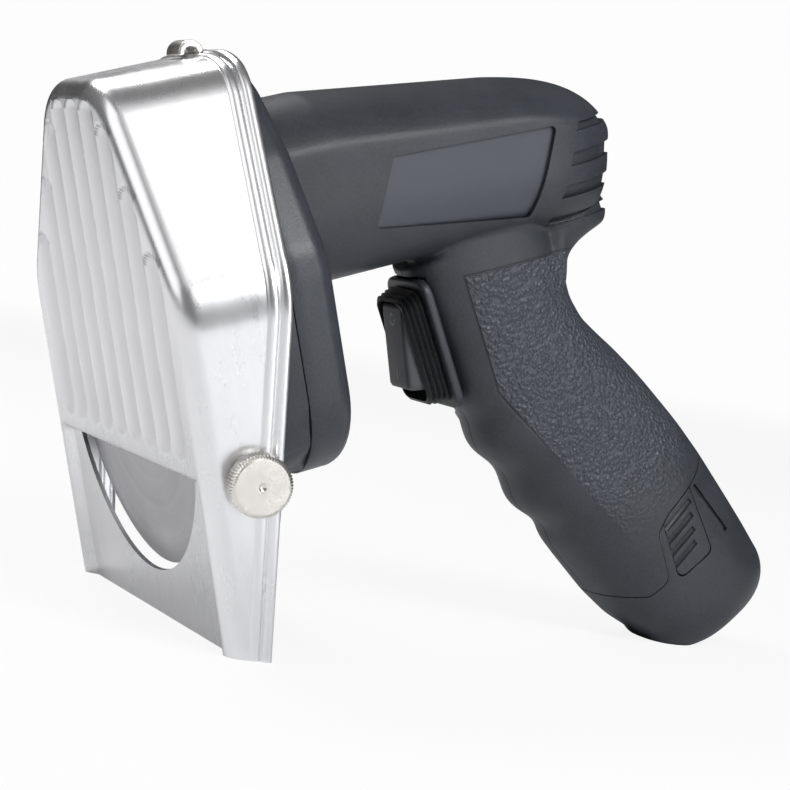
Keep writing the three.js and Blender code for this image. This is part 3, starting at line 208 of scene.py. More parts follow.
def corners(points, radii, steps=10):
    # an open line of points in a plane, with each inner corner rounded
    line = [Vector(points[0])]
    for before, here, after, radius in zip(points, points[1:], points[2:], radii):
        here = Vector(here)
        back = (Vector(before) - here).normalized()
        ahead = (Vector(after) - here).normalized()
        half = back.angle(ahead) / 2
        middle = here + (back + ahead).normalized() * radius / math.sin(half)
        start = here + back * radius / math.tan(half) - middle
        end = here + ahead * radius / math.tan(half) - middle
        turn = start.angle_signed(end)
        for i in range(steps + 1):
            bend = Matrix.Rotation(-turn * i / steps, 2)
            line.append(middle + bend @ start)
    line.append(Vector(points[-1]))
    return line


def roundBox(halfWide, halfHigh, radius, steps=6):
    ring = []
    for turn, (y, z) in enumerate([(1, 1), (-1, 1), (-1, -1), (1, -1)]):
        for i in range(steps + 1):
            angle = math.pi / 2 * (turn + i / steps)
            ring.append((y * (halfWide - radius) + radius * math.cos(angle),
                         z * (halfHigh - radius) + radius * math.sin(angle)))
    return ring


def spaced(line, gap):
    # the same line with points at even distances
    line = [Vector(point) for point in line]
    lengths = np.cumsum([0] + [(b - a).length for a, b in zip(line, line[1:])])
    marks = np.linspace(0, lengths[-1], max(2, round(lengths[-1] / gap) + 1))
    return [tuple(np.interp(marks, lengths, [point[k] for point in line])[i] for k in range(2))
            for i in range(len(marks))]


# Finishes


class Wire:
    # one socket of a material's tree: sums on it add Math nodes
    def __init__(self, tree, socket=None):
        self.tree = tree
        self.socket = socket

    def node(self, kind, settings=None, sockets=None, out=0):
        made = self.tree.nodes.new(kind)
        for key, value in (settings or {}).items():
            if key == "stops":
                ramp = made.color_ramp
                while len(ramp.elements) < len(value):
                    ramp.elements.new(0.5)
                for element, (place, colour) in zip(ramp.elements, value):
                    element.position = place
                    element.color = (*colour, 1)
            else:
                setattr(made, key, value)
        for key, value in (sockets or {}).items():
            if isinstance(value, Wire):
                self.tree.links.new(value.socket, made.inputs[key])
            else:
                made.inputs[key].default_value = value
        return Wire(self.tree, made.outputs[out])

    def maths(self, operation, *values):
        return self.node("ShaderNodeMath", {"operation": operation}, dict(enumerate(values)))

    def __add__(self, other):
        return self.maths("ADD", self, other)

    def __sub__(self, other):
        return self.maths("SUBTRACT", self, other)

    def __rsub__(self, other):
        return self.maths("SUBTRACT", other, self)

    def __mul__(self, other):
        return self.maths("MULTIPLY", self, other)

    __radd__ = __add__
    __rmul__ = __mul__

    def least(self, other):
        return self.maths("MINIMUM", self, other)

    def most(self, other):
        return self.maths("MAXIMUM", self, other)

    def ramp(self, low, high):
        # 0 at low, 1 at high
        return self.node("ShaderNodeMapRange", {"interpolation_type": "SMOOTHSTEP"},
                         {"Value": self, "From Min": low, "From Max": high})

    def parts(self):
        split = self.tree.nodes.new("ShaderNodeSeparateXYZ")
        self.tree.links.new(self.socket, split.inputs[0])
        return [Wire(self.tree, socket) for socket in split.outputs]


def newMaterial(name):
    material = bpy.data.materials.new(name)
    material.use_nodes = True
    tree = material.node_tree
    shader = next(node for node in tree.nodes if node.type == "BSDF_PRINCIPLED")
    start = Wire(tree)
    place = start.node("ShaderNodeTexCoord", out="Object")
    return material, shader, start, place


def inTool(start, place):
    # object coordinates turned into the tool's frame, in metres
    return start.node("ShaderNodeMapping", {"vector_type": "TEXTURE"},
                      {"Vector": place, "Location": toolPlace, "Rotation": toolTurn.to_euler()})


def noiseAt(start, place, scale, detail=2.0, rough=0.5, stretch=(1, 1, 1)):
    if stretch != (1, 1, 1):
        place = start.node("ShaderNodeMapping", None, {"Vector": place, "Scale": stretch})
    return start.node("ShaderNodeTexNoise", None,
                      {"Vector": place, "Scale": scale, "Detail": detail, "Roughness": rough})


def link(shader, start, **wires):
    for key, wire in wires.items():
        start.tree.links.new(wire.socket, shader.inputs[key.replace("_", " ")])


def mixed(start, factor, low, high):
    return start.node("ShaderNodeMix", {"data_type": "RGBA"}, {"Factor": factor, 6: low, 7: high}, out=2)


def bumped(start, height, strength, distance):
    return start.node("ShaderNodeBump", None, {"Height": height, "Strength": strength, "Distance": distance})


def rgba(*values):
    return (*values, 1.0)


def castFinish():
    # polished casting: clouded gloss, fine buffing lines, rougher flute hollows tinted darker as painted shade, and a
    # painted shadow along each flute's upper end
    material, shader, start, place = newMaterial("polishedCasting")
    hollow = start.node("ShaderNodeAttribute", {"attribute_name": "hollow"}, out="Fac")
    tool = inTool(start, place)
    cloud = noiseAt(start, place, 38, 3, 0.6)
    buff = noiseAt(start, tool, 260, 3, 0.6, (1, 1, 0.06))
    pits = noiseAt(start, place, 900, 2)
    scallop = start.node("ShaderNodeAttribute", {"attribute_name": "scallop"}, out="Fac")
    tint = mixed(start, (cloud * 0.5 + buff * 0.35).ramp(0.2, 0.75), rgba(0.80, 0.80, 0.815), rgba(0.91, 0.91, 0.92))
    # painted shade: the flutes' hollows are tinted a darker grey; their higher roughness below is the real finish
    tint = mixed(start, hollow * 0.45, tint, rgba(0.70, 0.695, 0.71))
    # painted shadow: a dark curve in the colour along each flute's upper end, where the step would shade
    tint = mixed(start, scallop * 0.8, tint, rgba(0.16, 0.16, 0.17))
    rough = 0.2 + cloud * 0.1 + buff * 0.07 + hollow * 0.14
    height = buff * 0.4 + pits * 0.3 + cloud * 0.15
    link(shader, start, Base_Color=tint, Roughness=rough, Normal=bumped(start, height, 0.08, 0.0001))
    shader.inputs["Metallic"].default_value = 1
    return material


def nickelFinish():
    material, shader, start, place = newMaterial("brightNickel")
    cloud = noiseAt(start, place, 140, 3, 0.6)
    fine = noiseAt(start, place, 1500, 2)
    tint = mixed(start, cloud.ramp(0.3, 0.7), rgba(0.74, 0.71, 0.67), rgba(0.86, 0.835, 0.79))
    link(shader, start, Base_Color=tint, Roughness=0.17 + cloud * 0.14 + fine * 0.05,
         Normal=bumped(start, fine + cloud, 0.15, 0.00006))
    shader.inputs["Metallic"].default_value = 1
    return material


def turnedFinish():
    # fine rings about the blade axis, from turning and grinding
    material, shader, start, place = newMaterial("turnedSteel")
    x, y, z = inTool(start, place).parts()
    radius = (y * y + z * z).maths("SQRT", y * y + z * z)
    ringPlace = start.node("ShaderNodeCombineXYZ", None, {0: radius})
    rings = start.node("ShaderNodeTexNoise", {"noise_dimensions": "3D"},
                       {"Vector": ringPlace, "Scale": 2600, "Detail": 3, "Roughness": 0.65})
    broad = start.node("ShaderNodeTexNoise", None, {"Vector": ringPlace, "Scale": 330, "Detail": 2})
    cloud = noiseAt(start, place, 60, 3)
    shade = (rings * 0.5 + broad * 0.3 + cloud * 0.3).ramp(0.25, 0.85)
    tint = mixed(start, shade, rgba(0.41, 0.41, 0.43), rgba(0.60, 0.595, 0.61))
    link(shader, start, Base_Color=tint, Roughness=0.27 + rings * 0.16 + cloud * 0.06,
         Normal=bumped(start, rings + broad * 0.6, 0.25, 0.00004))
    shader.inputs["Metallic"].default_value = 1
    return material


def machinedFinish(name, low, high, roughness, metallic=1.0, grain=700):
    material, shader, start, place = newMaterial(name)
    cloud = noiseAt(start, place, 110, 3, 0.6)
    fine = noiseAt(start, place, grain, 3, 0.6)
    tint = mixed(start, (cloud * 0.6 + fine * 0.4).ramp(0.3, 0.7), rgba(*low), rgba(*high))
    link(shader, start, Base_Color=tint, Roughness=roughness - 0.08 + cloud * 0.1 + fine * 0.08,
         Normal=bumped(start, fine + cloud * 0.5, 0.2, 0.00005))
    shader.inputs["Metallic"].default_value = metallic
    return material


labelCorners = [(79, 35), (133, 26.3), (144.6, 52.6), (88, 54.8)]


def labelMask(start, place):
    # 1 inside the recess of the barrel's left side
    x, y, z = inTool(start, place).parts()
    inside = (0 - y).ramp(0.0, 0.004)
    for (x0, z0), (x1, z1) in zip(labelCorners, labelCorners[1:] + labelCorners[:1]):
        length = math.hypot(x1 - x0, z1 - z0)
        away = (z - z0 * mm) * ((x1 - x0) / length) - (x - x0 * mm) * ((z1 - z0) / length)
        inside = inside * away.ramp(0.0002, 0.0008)
    return inside


def mouldedFinish(name, low, high, roughness, grained=False):
    # spark-eroded plastic with a fine speckle; the grip's panel has a leather grain inside a thin line, and the panel
    # and the label recess are painted lighter as painted light on the near side
    material, shader, start, place = newMaterial(name)
    speckle = noiseAt(start, place, 1150, 2, 0.7)
    fine = noiseAt(start, place, 2600, 1)
    cloud = noiseAt(start, place, 34, 3, 0.6)
    height = speckle * 0.7 + fine * 0.5
    shade = (cloud * 0.55 + speckle * 0.45).ramp(0.25, 0.78)
    rough = roughness + cloud * 0.08 + speckle * 0.1 - 0.08
    tint = mixed(start, shade, rgba(*low), rgba(*high))
    if grained:
        x, _, z = inTool(start, place).parts()
        frontLine = (x - z * -0.143 - 0.1114) * 0.99
        lowerLine = (x - z * -0.61 - 0.0996) * 0.854
        edge = frontLine.least(lowerLine).least(0.0128 - z)
        grip = grainPanel["fadeEnd"] - (x * math.sin(rad(24)) - z * math.cos(rad(24)))
        inside = edge.ramp(0.0002, 0.0007) * grip.ramp(0.0, 0.03)
        lineFade = (z + 0.05).ramp(0.0, 0.02)
        line = (1 - edge.maths("ABSOLUTE", edge).ramp(0.00018, 0.0005)) * lineFade
        warp = noiseAt(start, place, 500, 2)
        warped = start.node("ShaderNodeVectorMath", {"operation": "ADD"}, {
            0: place, 1: start.node("ShaderNodeCombineXYZ", None, {0: warp * 0.0012, 1: warp * 0.0009, 2: warp * 0.0011})})
        cells = start.node("ShaderNodeTexVoronoi", {"feature": "SMOOTH_F1"},
                           {"Vector": warped, "Scale": 760, "Smoothness": 0.35})
        grain = 1 - cells.ramp(0.1, 0.75)
        height = height * (1 - inside * 0.6) + grain * inside * 9.0 - line * 5.0
        rough = rough - grain * inside * 0.14 + inside * 0.02
        # painted light: the leather panel is tinted lighter, as if lit from the near side
        tint = mixed(start, inside * 0.5, tint, rgba(0.070, 0.079, 0.097))
        tint = mixed(start, line * 0.55, tint, rgba(0.012, 0.013, 0.016))
        # painted light: the label recess is tinted lighter, as if lit from the near side
        tint = mixed(start, labelMask(start, place) * 0.75, tint, rgba(0.066, 0.074, 0.090))
    link(shader, start, Base_Color=tint, Roughness=rough, Normal=bumped(start, height, 0.6, 0.00011))
    return material


def rubberFinish(name, low, high, roughness):
    material, shader, start, place = newMaterial(name)
    cloud = noiseAt(start, place, 70, 3, 0.6)
    fine = noiseAt(start, place, 1700, 2)
    tint = mixed(start, (cloud * 0.7 + fine * 0.3).ramp(0.3, 0.7), rgba(*low), rgba(*high))
    link(shader, start, Base_Color=tint, Roughness=roughness - 0.06 + cloud * 0.12,
         Normal=bumped(start, fine + cloud * 0.4, 0.18, 0.00006))
    return material


grainPanel = {"fadeEnd": 0.142}

cast = castFinish()
nickel = nickelFinish()
turned = turnedFinish()
steel = machinedFinish("satinSteel", (0.50, 0.50, 0.52), (0.66, 0.66, 0.68), 0.34)
darkSteel = machinedFinish("darkSteel", (0.16, 0.165, 0.17), (0.28, 0.285, 0.29), 0.42)
magnetStone = machinedFinish("sinteredMagnet", (0.10, 0.10, 0.105), (0.17, 0.17, 0.175), 0.75, 0.0)
brass = machinedFinish("platedBrass", (0.60, 0.45, 0.21), (0.76, 0.60, 0.32), 0.3)
wrap = machinedFinish("cellWrap", (0.10, 0.27, 0.36), (0.16, 0.36, 0.46), 0.4, 0.0, 500)
casing = mouldedFinish("caseMoulding", (0.026, 0.030, 0.037), (0.052, 0.058, 0.071), 0.34)
moulded = mouldedFinish("bodyMoulding", (0.020, 0.023, 0.029), (0.046, 0.051, 0.063), 0.42, True)
plain = mouldedFinish("plainMoulding", (0.020, 0.023, 0.029), (0.044, 0.049, 0.060), 0.42)
rubber = rubberFinish("bootRubber", (0.011, 0.012, 0.014), (0.022, 0.023, 0.026), 0.5)
rockerRubber = rubberFinish("rockerRubber", (0.062, 0.064, 0.070), (0.082, 0.085, 0.091), 0.5)
markPaint = rubberFinish("markPaint", (0.26, 0.26, 0.26), (0.34, 0.34, 0.34), 0.6)
print("finishes made")

# Guard

guardForm = {
    "top": 93, "topHalf": 23, "topRound": 24, "shoulderHalf": 64, "shoulderZ": 33, "shoulderRound": 26,
    "footHalf": 63, "footZ": -65, "wall": 1.3, "draft": 8, "edgeRound": 5, "footDepth": 7.2, "rearLean": 14.2,
    "frontLean": 2.7, "proud": 1.5, "chordZ": -16.6, "lip": 2.6, "bladeRoom": 51, "gap": 0.95, "columns": 160,
    "flutes": 9, "pitch": 11.8, "fluteDepth": 1.2, "fluteFrame": 4.4, "fluteEnd": -10.5, "fluteSteep": 1.7, "rim": 6.2,
    "recess": 3.0, "swing": 1.2, "clearX": 3.9, "screwX": 3.65, "screwRoom": 10.5,
    "beads": [(5.3, 1.5, 0.75), (1.7, 1.6, 1.25)], "footSpare": 6, "rimSpan": 8,
}
standPitch = math.degrees(math.asin(toolX.z))


def groundZ(x):
    return guardForm["footZ"] - slope(standPitch) * x


def leanAt(z):
    # how far back the leaning front carries a point
    return slope(guardForm["frontLean"]) * (z - guardForm["chordZ"])


guardTurn = Matrix(((1, 0, leanAt(guardForm["chordZ"] + 1), leanAt(0)), (0, 1, 0, 0), (0, 0, 1, 0), (0, 0, 0, 1)))


def rearX(z):
    # the rear rim, before the lean
    depth = guardForm["footDepth"]
    return depth + slope(guardForm["rearLean"]) * (z - groundZ(depth)) - leanAt(z)


def guardEdge():
    # the left half of the front's outline, drawn in by the edge's round, from below the foot to the flat roof
    form = guardForm
    low = form["footZ"] - form["footSpare"]
    foot = lerp(form["footHalf"], form["shoulderHalf"], -form["footSpare"] / (form["shoulderZ"] - form["footZ"]))
    half = [(-foot, low), (-form["shoulderHalf"], form["shoulderZ"]), (-form["topHalf"], form["top"]), (0, form["top"])]
    line = corners(half, [form["shoulderRound"], form["topRound"]], 24)[:-1]
    inset = []
    for i, point in enumerate(line):
        ahead = (line[min(i + 1, len(line) - 1)] - line[max(i - 1, 0)]).normalized()
        if i == len(line) - 1:
            ahead = Vector((1, 0))
        inset.append(point - Vector((-ahead.y, ahead.x)) * form["edgeRound"])
    return spaced(inset, form["gap"])


def outlineDistance(points, line):
    # how far points in the front's plane lie inside its edge
    edge = np.array(line + [(-y, z) for y, z in reversed(line)])
    starts, ends = edge[:-1], edge[1:]
    best = np.full(len(points), 1e9)
    for a, b in zip(starts, ends):
        along = b - a
        share = np.clip(((points - a) @ along) / max(along @ along, 1e-9), 0, 1)
        best = np.minimum(best, np.linalg.norm(points - a - share[:, None] * along, axis=1))
    return best


def fluteTop(y, line):
    # the height where a flute's round end stops short of the frame
    form = guardForm
    reach = form["pitch"] / 2 / form["fluteSteep"]
    clear = [z for px, z in line if abs(px) >= abs(y)]
    column = np.array([(y, z) for z in np.linspace(-20, form["top"], 300)])
    room = outlineDistance(column, line)
    inside = [z for (_, z), d in zip(column, room) if d >= form["fluteFrame"] - form["edgeRound"] + reach and z < max(clear)]
    return max(inside)


def guardFront(points, line):
    # how far each point of the front stands forward, how deep it lies in a flute and how near a flute's upper end,
    # where a shadow is painted
    form = guardForm
    y, z = points[:, 0], points[:, 1]
    room = outlineDistance(points, line)
    flute, scallop = np.zeros(len(points)), np.zeros(len(points))
    reach = form["pitch"] / 2
    for i in range(form["flutes"]):
        middle = (i - (form["flutes"] - 1) / 2) * form["pitch"]
        top = fluteTop(middle, line)
        end = form["fluteEnd"] + reach
        over = np.maximum(np.maximum((z - top) * form["fluteSteep"], end - z), 0)
        away = np.hypot(y - middle, over) / reach
        flute = np.maximum(flute, np.clip(1 - away ** 2, 0, 1) ** 0.8)
        # the band at a flute's upper end, which the finish paints dark as its shadow
        scallop = np.maximum(scallop, np.exp(-((away - 0.94) / 0.1) ** 2) * smoothStep(0, 0.4, z - top))
    lipTop = form["chordZ"] + form["lip"]
    plate = 1 - smoothStep(form["chordZ"] - 0.2, lipTop, z)
    rim = smoothStep(0.4, form["rim"] - form["edgeRound"] + 2.4, room)
    forward = form["proud"] - form["fluteDepth"] * flute - form["recess"] * plate * rim
    return forward, flute, scallop


def makeGuard():
    form = guardForm
    line = guardEdge()
    columns = form["columns"]
    patch = np.array([[(lerp(y, -y, i / columns), z) for i in range(columns + 1)] for y, z in line])
    flat = patch.reshape(-1, 2)
    forward, _, _ = guardFront(flat, line)
    border = [r * (columns + 1) for r in range(len(line))]
    border += [(len(line) - 1) * (columns + 1) + c for c in range(1, columns + 1)]
    border += [r * (columns + 1) + columns for r in reversed(range(len(line) - 1))]
    forward[border] = form["proud"]
    rows = [[(-forward[r * (columns + 1) + c], *patch[r, c]) for c in range(columns + 1)] for r in range(len(line))]
    front = gridPiece("guardCasting", rows, False, guardTurn)
    edge = [flat[i] for i in border]
    normals = []
    for i in range(len(edge)):
        ahead = Vector(edge[min(i + 1, len(edge) - 1)] - edge[max(i - 1, 0)]).normalized()
        normals.append(Vector((-ahead.y, ahead.x)))

    def wallRow(outward, x):
        row = []
        for (y, z), normal in zip(edge, normals):
            at = Vector((y, z)) + normal * outward(z, x(z))
            spread = slope(form["draft"]) * max(x(z), 0)
            share = max(-1, min(1, at.x / form["topHalf"]))
            row.append((x(z), at.x + spread * share, at.y))
        return row

    def bead(z, x):
        back = rearX(z) - x
        swell = sum(height * max(0, 1 - ((back - middle) / half) ** 2) ** 0.5 for middle, half, height in form["beads"])
        return form["edgeRound"] + swell * max(0, min(1, (x - start) / 2))

    def rim(z):
        # the part of the wall that the beads take up, less where the wall is short
        return min(form["rimSpan"], 0.75 * (rearX(z) - start))

    strips = []
    start = -form["proud"] + form["edgeRound"]
    for angle in range(0, 91, 10):
        out = form["edgeRound"] * math.sin(rad(angle))
        x = -form["proud"] + form["edgeRound"] * (1 - math.cos(rad(angle)))
        strips.append(wallRow(lambda z, at, out=out: out, lambda z, x=x: x))
    for step in range(1, 15):
        strips.append(wallRow(bead, lambda z, s=step / 15: lerp(start, rearX(z) - rim(z), s)))
    for step in range(0, 33):
        strips.append(wallRow(bead, lambda z, s=step / 32: rearX(z) - rim(z) * (1 - s)))
    walls = gridPiece("guardWalls", strips, False, guardTurn)
    guard = tidyMesh(joined(front, walls))
    pick(guard)
    # the walls face out of the tool, so that the thickness goes in
    middleFace = min(guard.data.polygons, key=lambda face: (face.center - toolToRow @ Vector((-5, 0, 60))).length)
    if middleFace.normal.dot(toolX) > 0:
        guard.data.flip_normals()
    applied(guard, "SOLIDIFY", thickness=form["wall"] * mm, offset=-1, use_even_offset=True)
    # the inner face stays clear of the blade and its screw when the guard swings
    rowToTool = toolToRow.inverted()
    for vertex in guard.data.vertices:
        spot = rowToTool @ vertex.co
        away = math.hypot(spot.y, spot.z)
        clear = form["screwX"] if away < form["screwRoom"] else form["clearX"]
        clear -= math.sin(rad(form["swing"])) * (form["top"] - spot.z)
        if away < form["bladeRoom"] + 2 and spot.z > form["chordZ"] and spot.x > clear:
            vertex.co = toolToRow @ Vector((clear, spot.y, spot.z))
    sliced(guard, (0, 0, 0), (0, 0, -1))
    tidyMesh(guard)
    moon = [(form["bladeRoom"] * math.cos(a), form["bladeRoom"] * math.sin(a))
            for a in np.linspace(math.pi + math.asin(-form["chordZ"] / form["bladeRoom"]),
                                 2 * math.pi - math.asin(-form["chordZ"] / form["bladeRoom"]), 90)]
    opening = prism("opening", moon, "x", -12, 8)
    hookSlot = prism("hookSlot", [(41.55, 89), (45.45, 89), (45.45, 97), (41.55, 97)], "y", -6, 6)
    slots = [prism("thumbSlot", roundBox(6.4, 4.1, 3), "x", -12, 8, thumbTurn(side)) for side in (-1, 1)]
    carve(guard, opening, hookSlot, *slots)
    # what lies in a flute is marked for the finish, and a flute's upper end for its painted shadow
    spots = np.array([rowToTool @ vertex.co for vertex in guard.data.vertices])
    _, depth, end = guardFront(spots[:, 1:], line)
    outside = spots[:, 0] - leanAt(spots[:, 2]) < 0.2
    for name, values in (("hollow", depth), ("scallop", end)):
        mark = guard.data.attributes.new(name, "FLOAT", "POINT")
        mark.data.foreach_set("value", np.where(outside, values, 0).astype(np.float32))
    return smoothed(guard, 40)


thumbForm = {"x": 12.2, "z": -17, "knob": 8.8, "height": 6, "chamfer": 1.3, "collar": 4.4, "dimple": 1.2, "foot": 1.9,
             "knurls": 60, "knurlDepth": 0.28, "shank": 3, "reach": 23}


def thumbTurn(side):
    # from a screw's own frame, X outwards from the guard's wall, to the tool's
    form, guard = thumbForm, guardForm
    low = groundZ(form["x"])
    half = lerp(guard["footHalf"], guard["shoulderHalf"], (form["z"] - low) / (guard["shoulderZ"] - low))
    seat = Vector((form["x"], side * (half + slope(guard["draft"]) * form["x"]), form["z"]))
    axis = Vector((-math.sin(rad(guard["draft"])), side * math.cos(rad(guard["draft"])), 0))
    turn = Vector((1, 0, 0)).rotation_difference(axis)
    return Matrix.LocRotScale(seat, turn, None)


def makeThumbScrew(side, name):
    form = thumbForm
    foot, knob, chamfer = form["foot"], form["knob"], form["chamfer"]
    face = foot + form["height"]
    body = list(np.linspace(foot + chamfer / 2, face - chamfer, 6))
    profile = [(0, -form["reach"]), (form["shank"] - 0.5, -form["reach"]), (form["shank"], -form["reach"] + 0.5),
               (form["shank"], 0.4), (form["collar"], 0.4), (form["collar"], foot), (knob - chamfer, foot)]
    profile += [(knob, x) for x in body]
    profile += [(knob - chamfer * 0.45, face - chamfer * 0.42), (knob - chamfer, face), (knob - chamfer - 0.5, face)]
    profile += [(form["dimple"] + 1.4, face), (form["dimple"], face - 0.12), (form["dimple"] * 0.6, face - 0.55), (0, face - 0.75)]

    def knurl(r, x, angle):
        if r < knob - 0.01:
            return r
        return r - form["knurlDepth"] * (0.5 - 0.5 * math.cos(angle * form["knurls"]))

    screw = lathe(name, profile, form["knurls"] * 8, thumbTurn(side), knurl)
    return smoothed(screw, 32)


hookForm = {"x": 43.5, "wide": 10, "thick": 1.9, "radius": 3.9, "room": 1, "foot": 89.8}


def makeHook():
    form = hookForm
    middle = form["x"] + form["thick"] / 2 - form["radius"]
    top = guardForm["top"] + form["room"]
    bends = [rad(a) for a in range(0, 181, 9)]
    outer = [(middle + form["radius"] * math.cos(a), top + form["radius"] * math.sin(a)) for a in bends]
    inner = [(middle + (form["radius"] - form["thick"]) * math.cos(a), top + (form["radius"] - form["thick"]) * math.sin(a))
             for a in reversed(bends)]
    outline = [(middle + form["radius"], form["foot"])] + outer + inner + [(middle + form["radius"] - form["thick"], form["foot"])]
    return smoothed(beveled(prism("guardHook", outline, "y", -form["wide"] / 2, form["wide"] / 2), 0.45, 3, 50), 40)


dressed(makeGuard(), cast, "guard", "cast", "guard")
dressed(makeHook(), nickel, "housing", "nickel", "guard_hook")
for side, word in ((-1, "left"), (1, "right")):
    screw = makeThumbScrew(side, f"thumbScrew_{word}")
    dressed(screw, nickel, f"thumb_screw_{word}", "nickel", f"thumb_screw_{word}")
print("guard made")

# Blade

bladeForm = {"radius": 50, "back": 4.8, "thick": 1.6, "bevel": 6, "edge": 0.3, "bore": 6.3, "sides": 160,
             "dish": 0.5, "dishStart": 26}


def makeBlade():
    form = bladeForm
    ground = form["radius"] - form["bevel"]

    def front(r):
        return form["back"] - form["dish"] * smoothStep(form["dishStart"], form["radius"], r)

    profile = [(r, front(r)) for r in np.linspace(form["bore"], form["radius"], 24)]
    profile += [(form["radius"], front(form["radius"]) + form["edge"]), (ground, front(ground) + form["thick"])]
    profile += [(r, front(r) + form["thick"]) for r in np.linspace(ground - 2, form["bore"], 12)] + profile[:1]
    angles = [2 * math.pi * i / form["sides"] for i in range(form["sides"] + 1)]
    rows = [[(x, r * math.cos(a), r * math.sin(a)) for a in angles] for r, x in profile]
    return smoothed(gridPiece("sliceBlade", rows), 25)


dressed(makeBlade(), turned, "blade", "steel", "blade")
print("blade made")

# Gear case

caseForm = {"bottom": -28, "bottomHalf": 50.5, "half": 54, "halfZ": 36, "shoulder": (39.5, 65), "topHalf": 20, "top": 89.5,
            "rounds": [26, 24, 20, 22], "joint": 37.3, "rear": 52, "rearRound": 6, "wall": 2.6, "seam": 0.55}


caseScrewPlaces = [(-33, 58), (33, 58), (-44, -3), (44, -3)]


def caseRing(x, inset):
    form = caseForm
    half = [(0, form["bottom"]), (form["bottomHalf"], form["bottom"]), (form["half"], form["halfZ"]),
            form["shoulder"], (form["topHalf"], form["top"]), (0, form["top"])]
    line = corners(half, form["rounds"], 14)
    drawn = []
    for i, point in enumerate(line):
        ahead = (line[min(i + 1, len(line) - 1)] - line[max(i - 1, 0)]).normalized()
        drawn.append(point + Vector((-ahead.y, ahead.x)) * inset)
    drawn[0].x = drawn[-1].x = 0
    return [(x, y, z) for y, z in drawn] + [(x, -y, z) for y, z in reversed(drawn[1:-1])]


def makeCaseRear():
    form = caseForm
    rings = [caseRing(form["joint"], form["seam"]), caseRing(form["joint"] + form["seam"] * 0.3, form["seam"] * 0.3),
             caseRing(form["joint"] + form["seam"], 0), caseRing(form["joint"] + 4, 0)]
    for angle in range(0, 91, 9):
        turn = rad(angle)
        rings.append(caseRing(form["rear"] - form["rearRound"] * (1 - math.sin(turn)), form["rearRound"] * (1 - math.cos(turn))))
    case = ringPiece("gearCaseRear", rings)
    room = ringPiece("room", [caseRing(x, form["wall"]) for x in (form["joint"] - 3, form["rear"] - form["rearRound"])]
                     + [caseRing(form["rear"] - 3.2, form["wall"] + 2.4)])
    holes = [prism("hole", [(8.3 * math.cos(a), 45 + 8.3 * math.sin(a)) for a in np.linspace(0, 2 * math.pi, 41)[:-1]], "x", 40, 60)]
    holes += [prism("hole", [(y + 3.75 * math.cos(a), z + 3.75 * math.sin(a)) for a in np.linspace(0, 2 * math.pi, 33)[:-1]],
                    "x", 48.1, 60) for y, z in caseScrewPlaces]
    return smoothed(carve(case, room, *holes), 38)


dressed(makeCaseRear(), casing, "housing", "casing", "gear_case_rear")
dressed(smoothed(nodeCopy("gear_case_front", "gearCaseFront"), 38), casing, "housing", "casing", "gear_case_front")
for i in range(1, 5):
    screw = smoothed(beveled(nodeCopy(f"case_screw_{i}", f"caseScrew_{i}"), 0.25, 2, 40), 50)
    dressed(screw, darkSteel, "housing", "dark_steel", f"case_screw_{i}")
print("gear case made")

# Body and battery

barrelForm = {
    "start": 52.3, "straight": 70.3, "tail": 135, "end": 167.5, "wall": 2.5, "points": 208, "step": 1.0,
    "front": (48.5, 28.5, 27.0), "rear": (44.5, 24.5, 25.5), "drop": 7, "lean": 0.22, "arch": 3.4, "crease": 0.9,
    "squareness": 2.6, "grooves": [(41.2, 4.2), (31.8, 4.0), (22.9, 3.0), (50.6, 2.6)], "grooveDepth": 1.7,
    "label": labelCorners, "labelRound": 1.5, "labelDepth": (0.7, 1.5), "labelSpan": (82, 142),
}
gripForm = {
    "origin": (118, 20), "lean": 24, "topHalf": 17.5, "footHalf": 21, "end": 161.5, "footRound": 15.5, "points": 150,
    "bump": 1.3, "bumpPitch": 24.6, "bumpFirst": 57, "step": 1.1, "last": 146, "wall": 2.5,
    # distance down, front, back, share of the way to the foot's width
    "stations": [(-6, -21, 31.5, 0), (12, -24, 29, 0), (24, -27, 24, 0), (34, -29.6, 20.4, 0), (43, -30.4, 20, 0.1),
                 (51, -30.4, 21.9, 0.2), (57, -30.4, 23.6, 0.3), (63, -30.3, 24.9, 0.4), (69, -30.2, 26.1, 0.5),
                 (75, -29.9, 27.1, 0.6), (81, -29.5, 27.9, 0.7), (88, -28.8, 28.8, 0.8), (95, -28.4, 29.5, 0.9),
                 (106, -27.9, 30.2, 0.95), (124, -26.2, 30.4, 1), (136, -23.7, 30.4, 1), (146, -19.7, 30, 0.95)],
    "parting": [(122, -40), (122, -26), (129, -16), (128, -8), (112, -3), (109, 4), (107, 18), (102, 45)],
    "partingRounds": [2, 4, 4, 4, 2, 2], "seam": 0.4,
}
gripDown = Vector((math.sin(rad(gripForm["lean"])), 0, -math.cos(rad(gripForm["lean"]))))
gripBack = Vector((math.cos(rad(gripForm["lean"])), 0, math.sin(rad(gripForm["lean"]))))


def gripPoint(down, back, y=0.0):
    x, z = gripForm["origin"]
    return Vector((x, y, z)) + gripDown * down + gripBack * back


def superRound(angle, across, up, power):
    bend = lambda value: math.copysign(abs(value) ** (2 / power), value)
    return across * bend(math.cos(angle)), up * bend(math.sin(angle))


def barrelSection(x):
    form = barrelForm
    share = min(1, max(0, (x - form["straight"]) / (form["tail"] - form["straight"])))
    middle, high, half = (lerp(a, b, share) for a, b in zip(form["front"], form["rear"]))
    end = min(1, max(0, (x - form["tail"]) / (form["end"] - form["tail"])))
    return (middle - form["drop"] * end, high * math.sqrt(1 - 0.68 * end ** 3), half * math.sqrt(1 - 0.72 * end ** 3),
            form["lean"] * end)


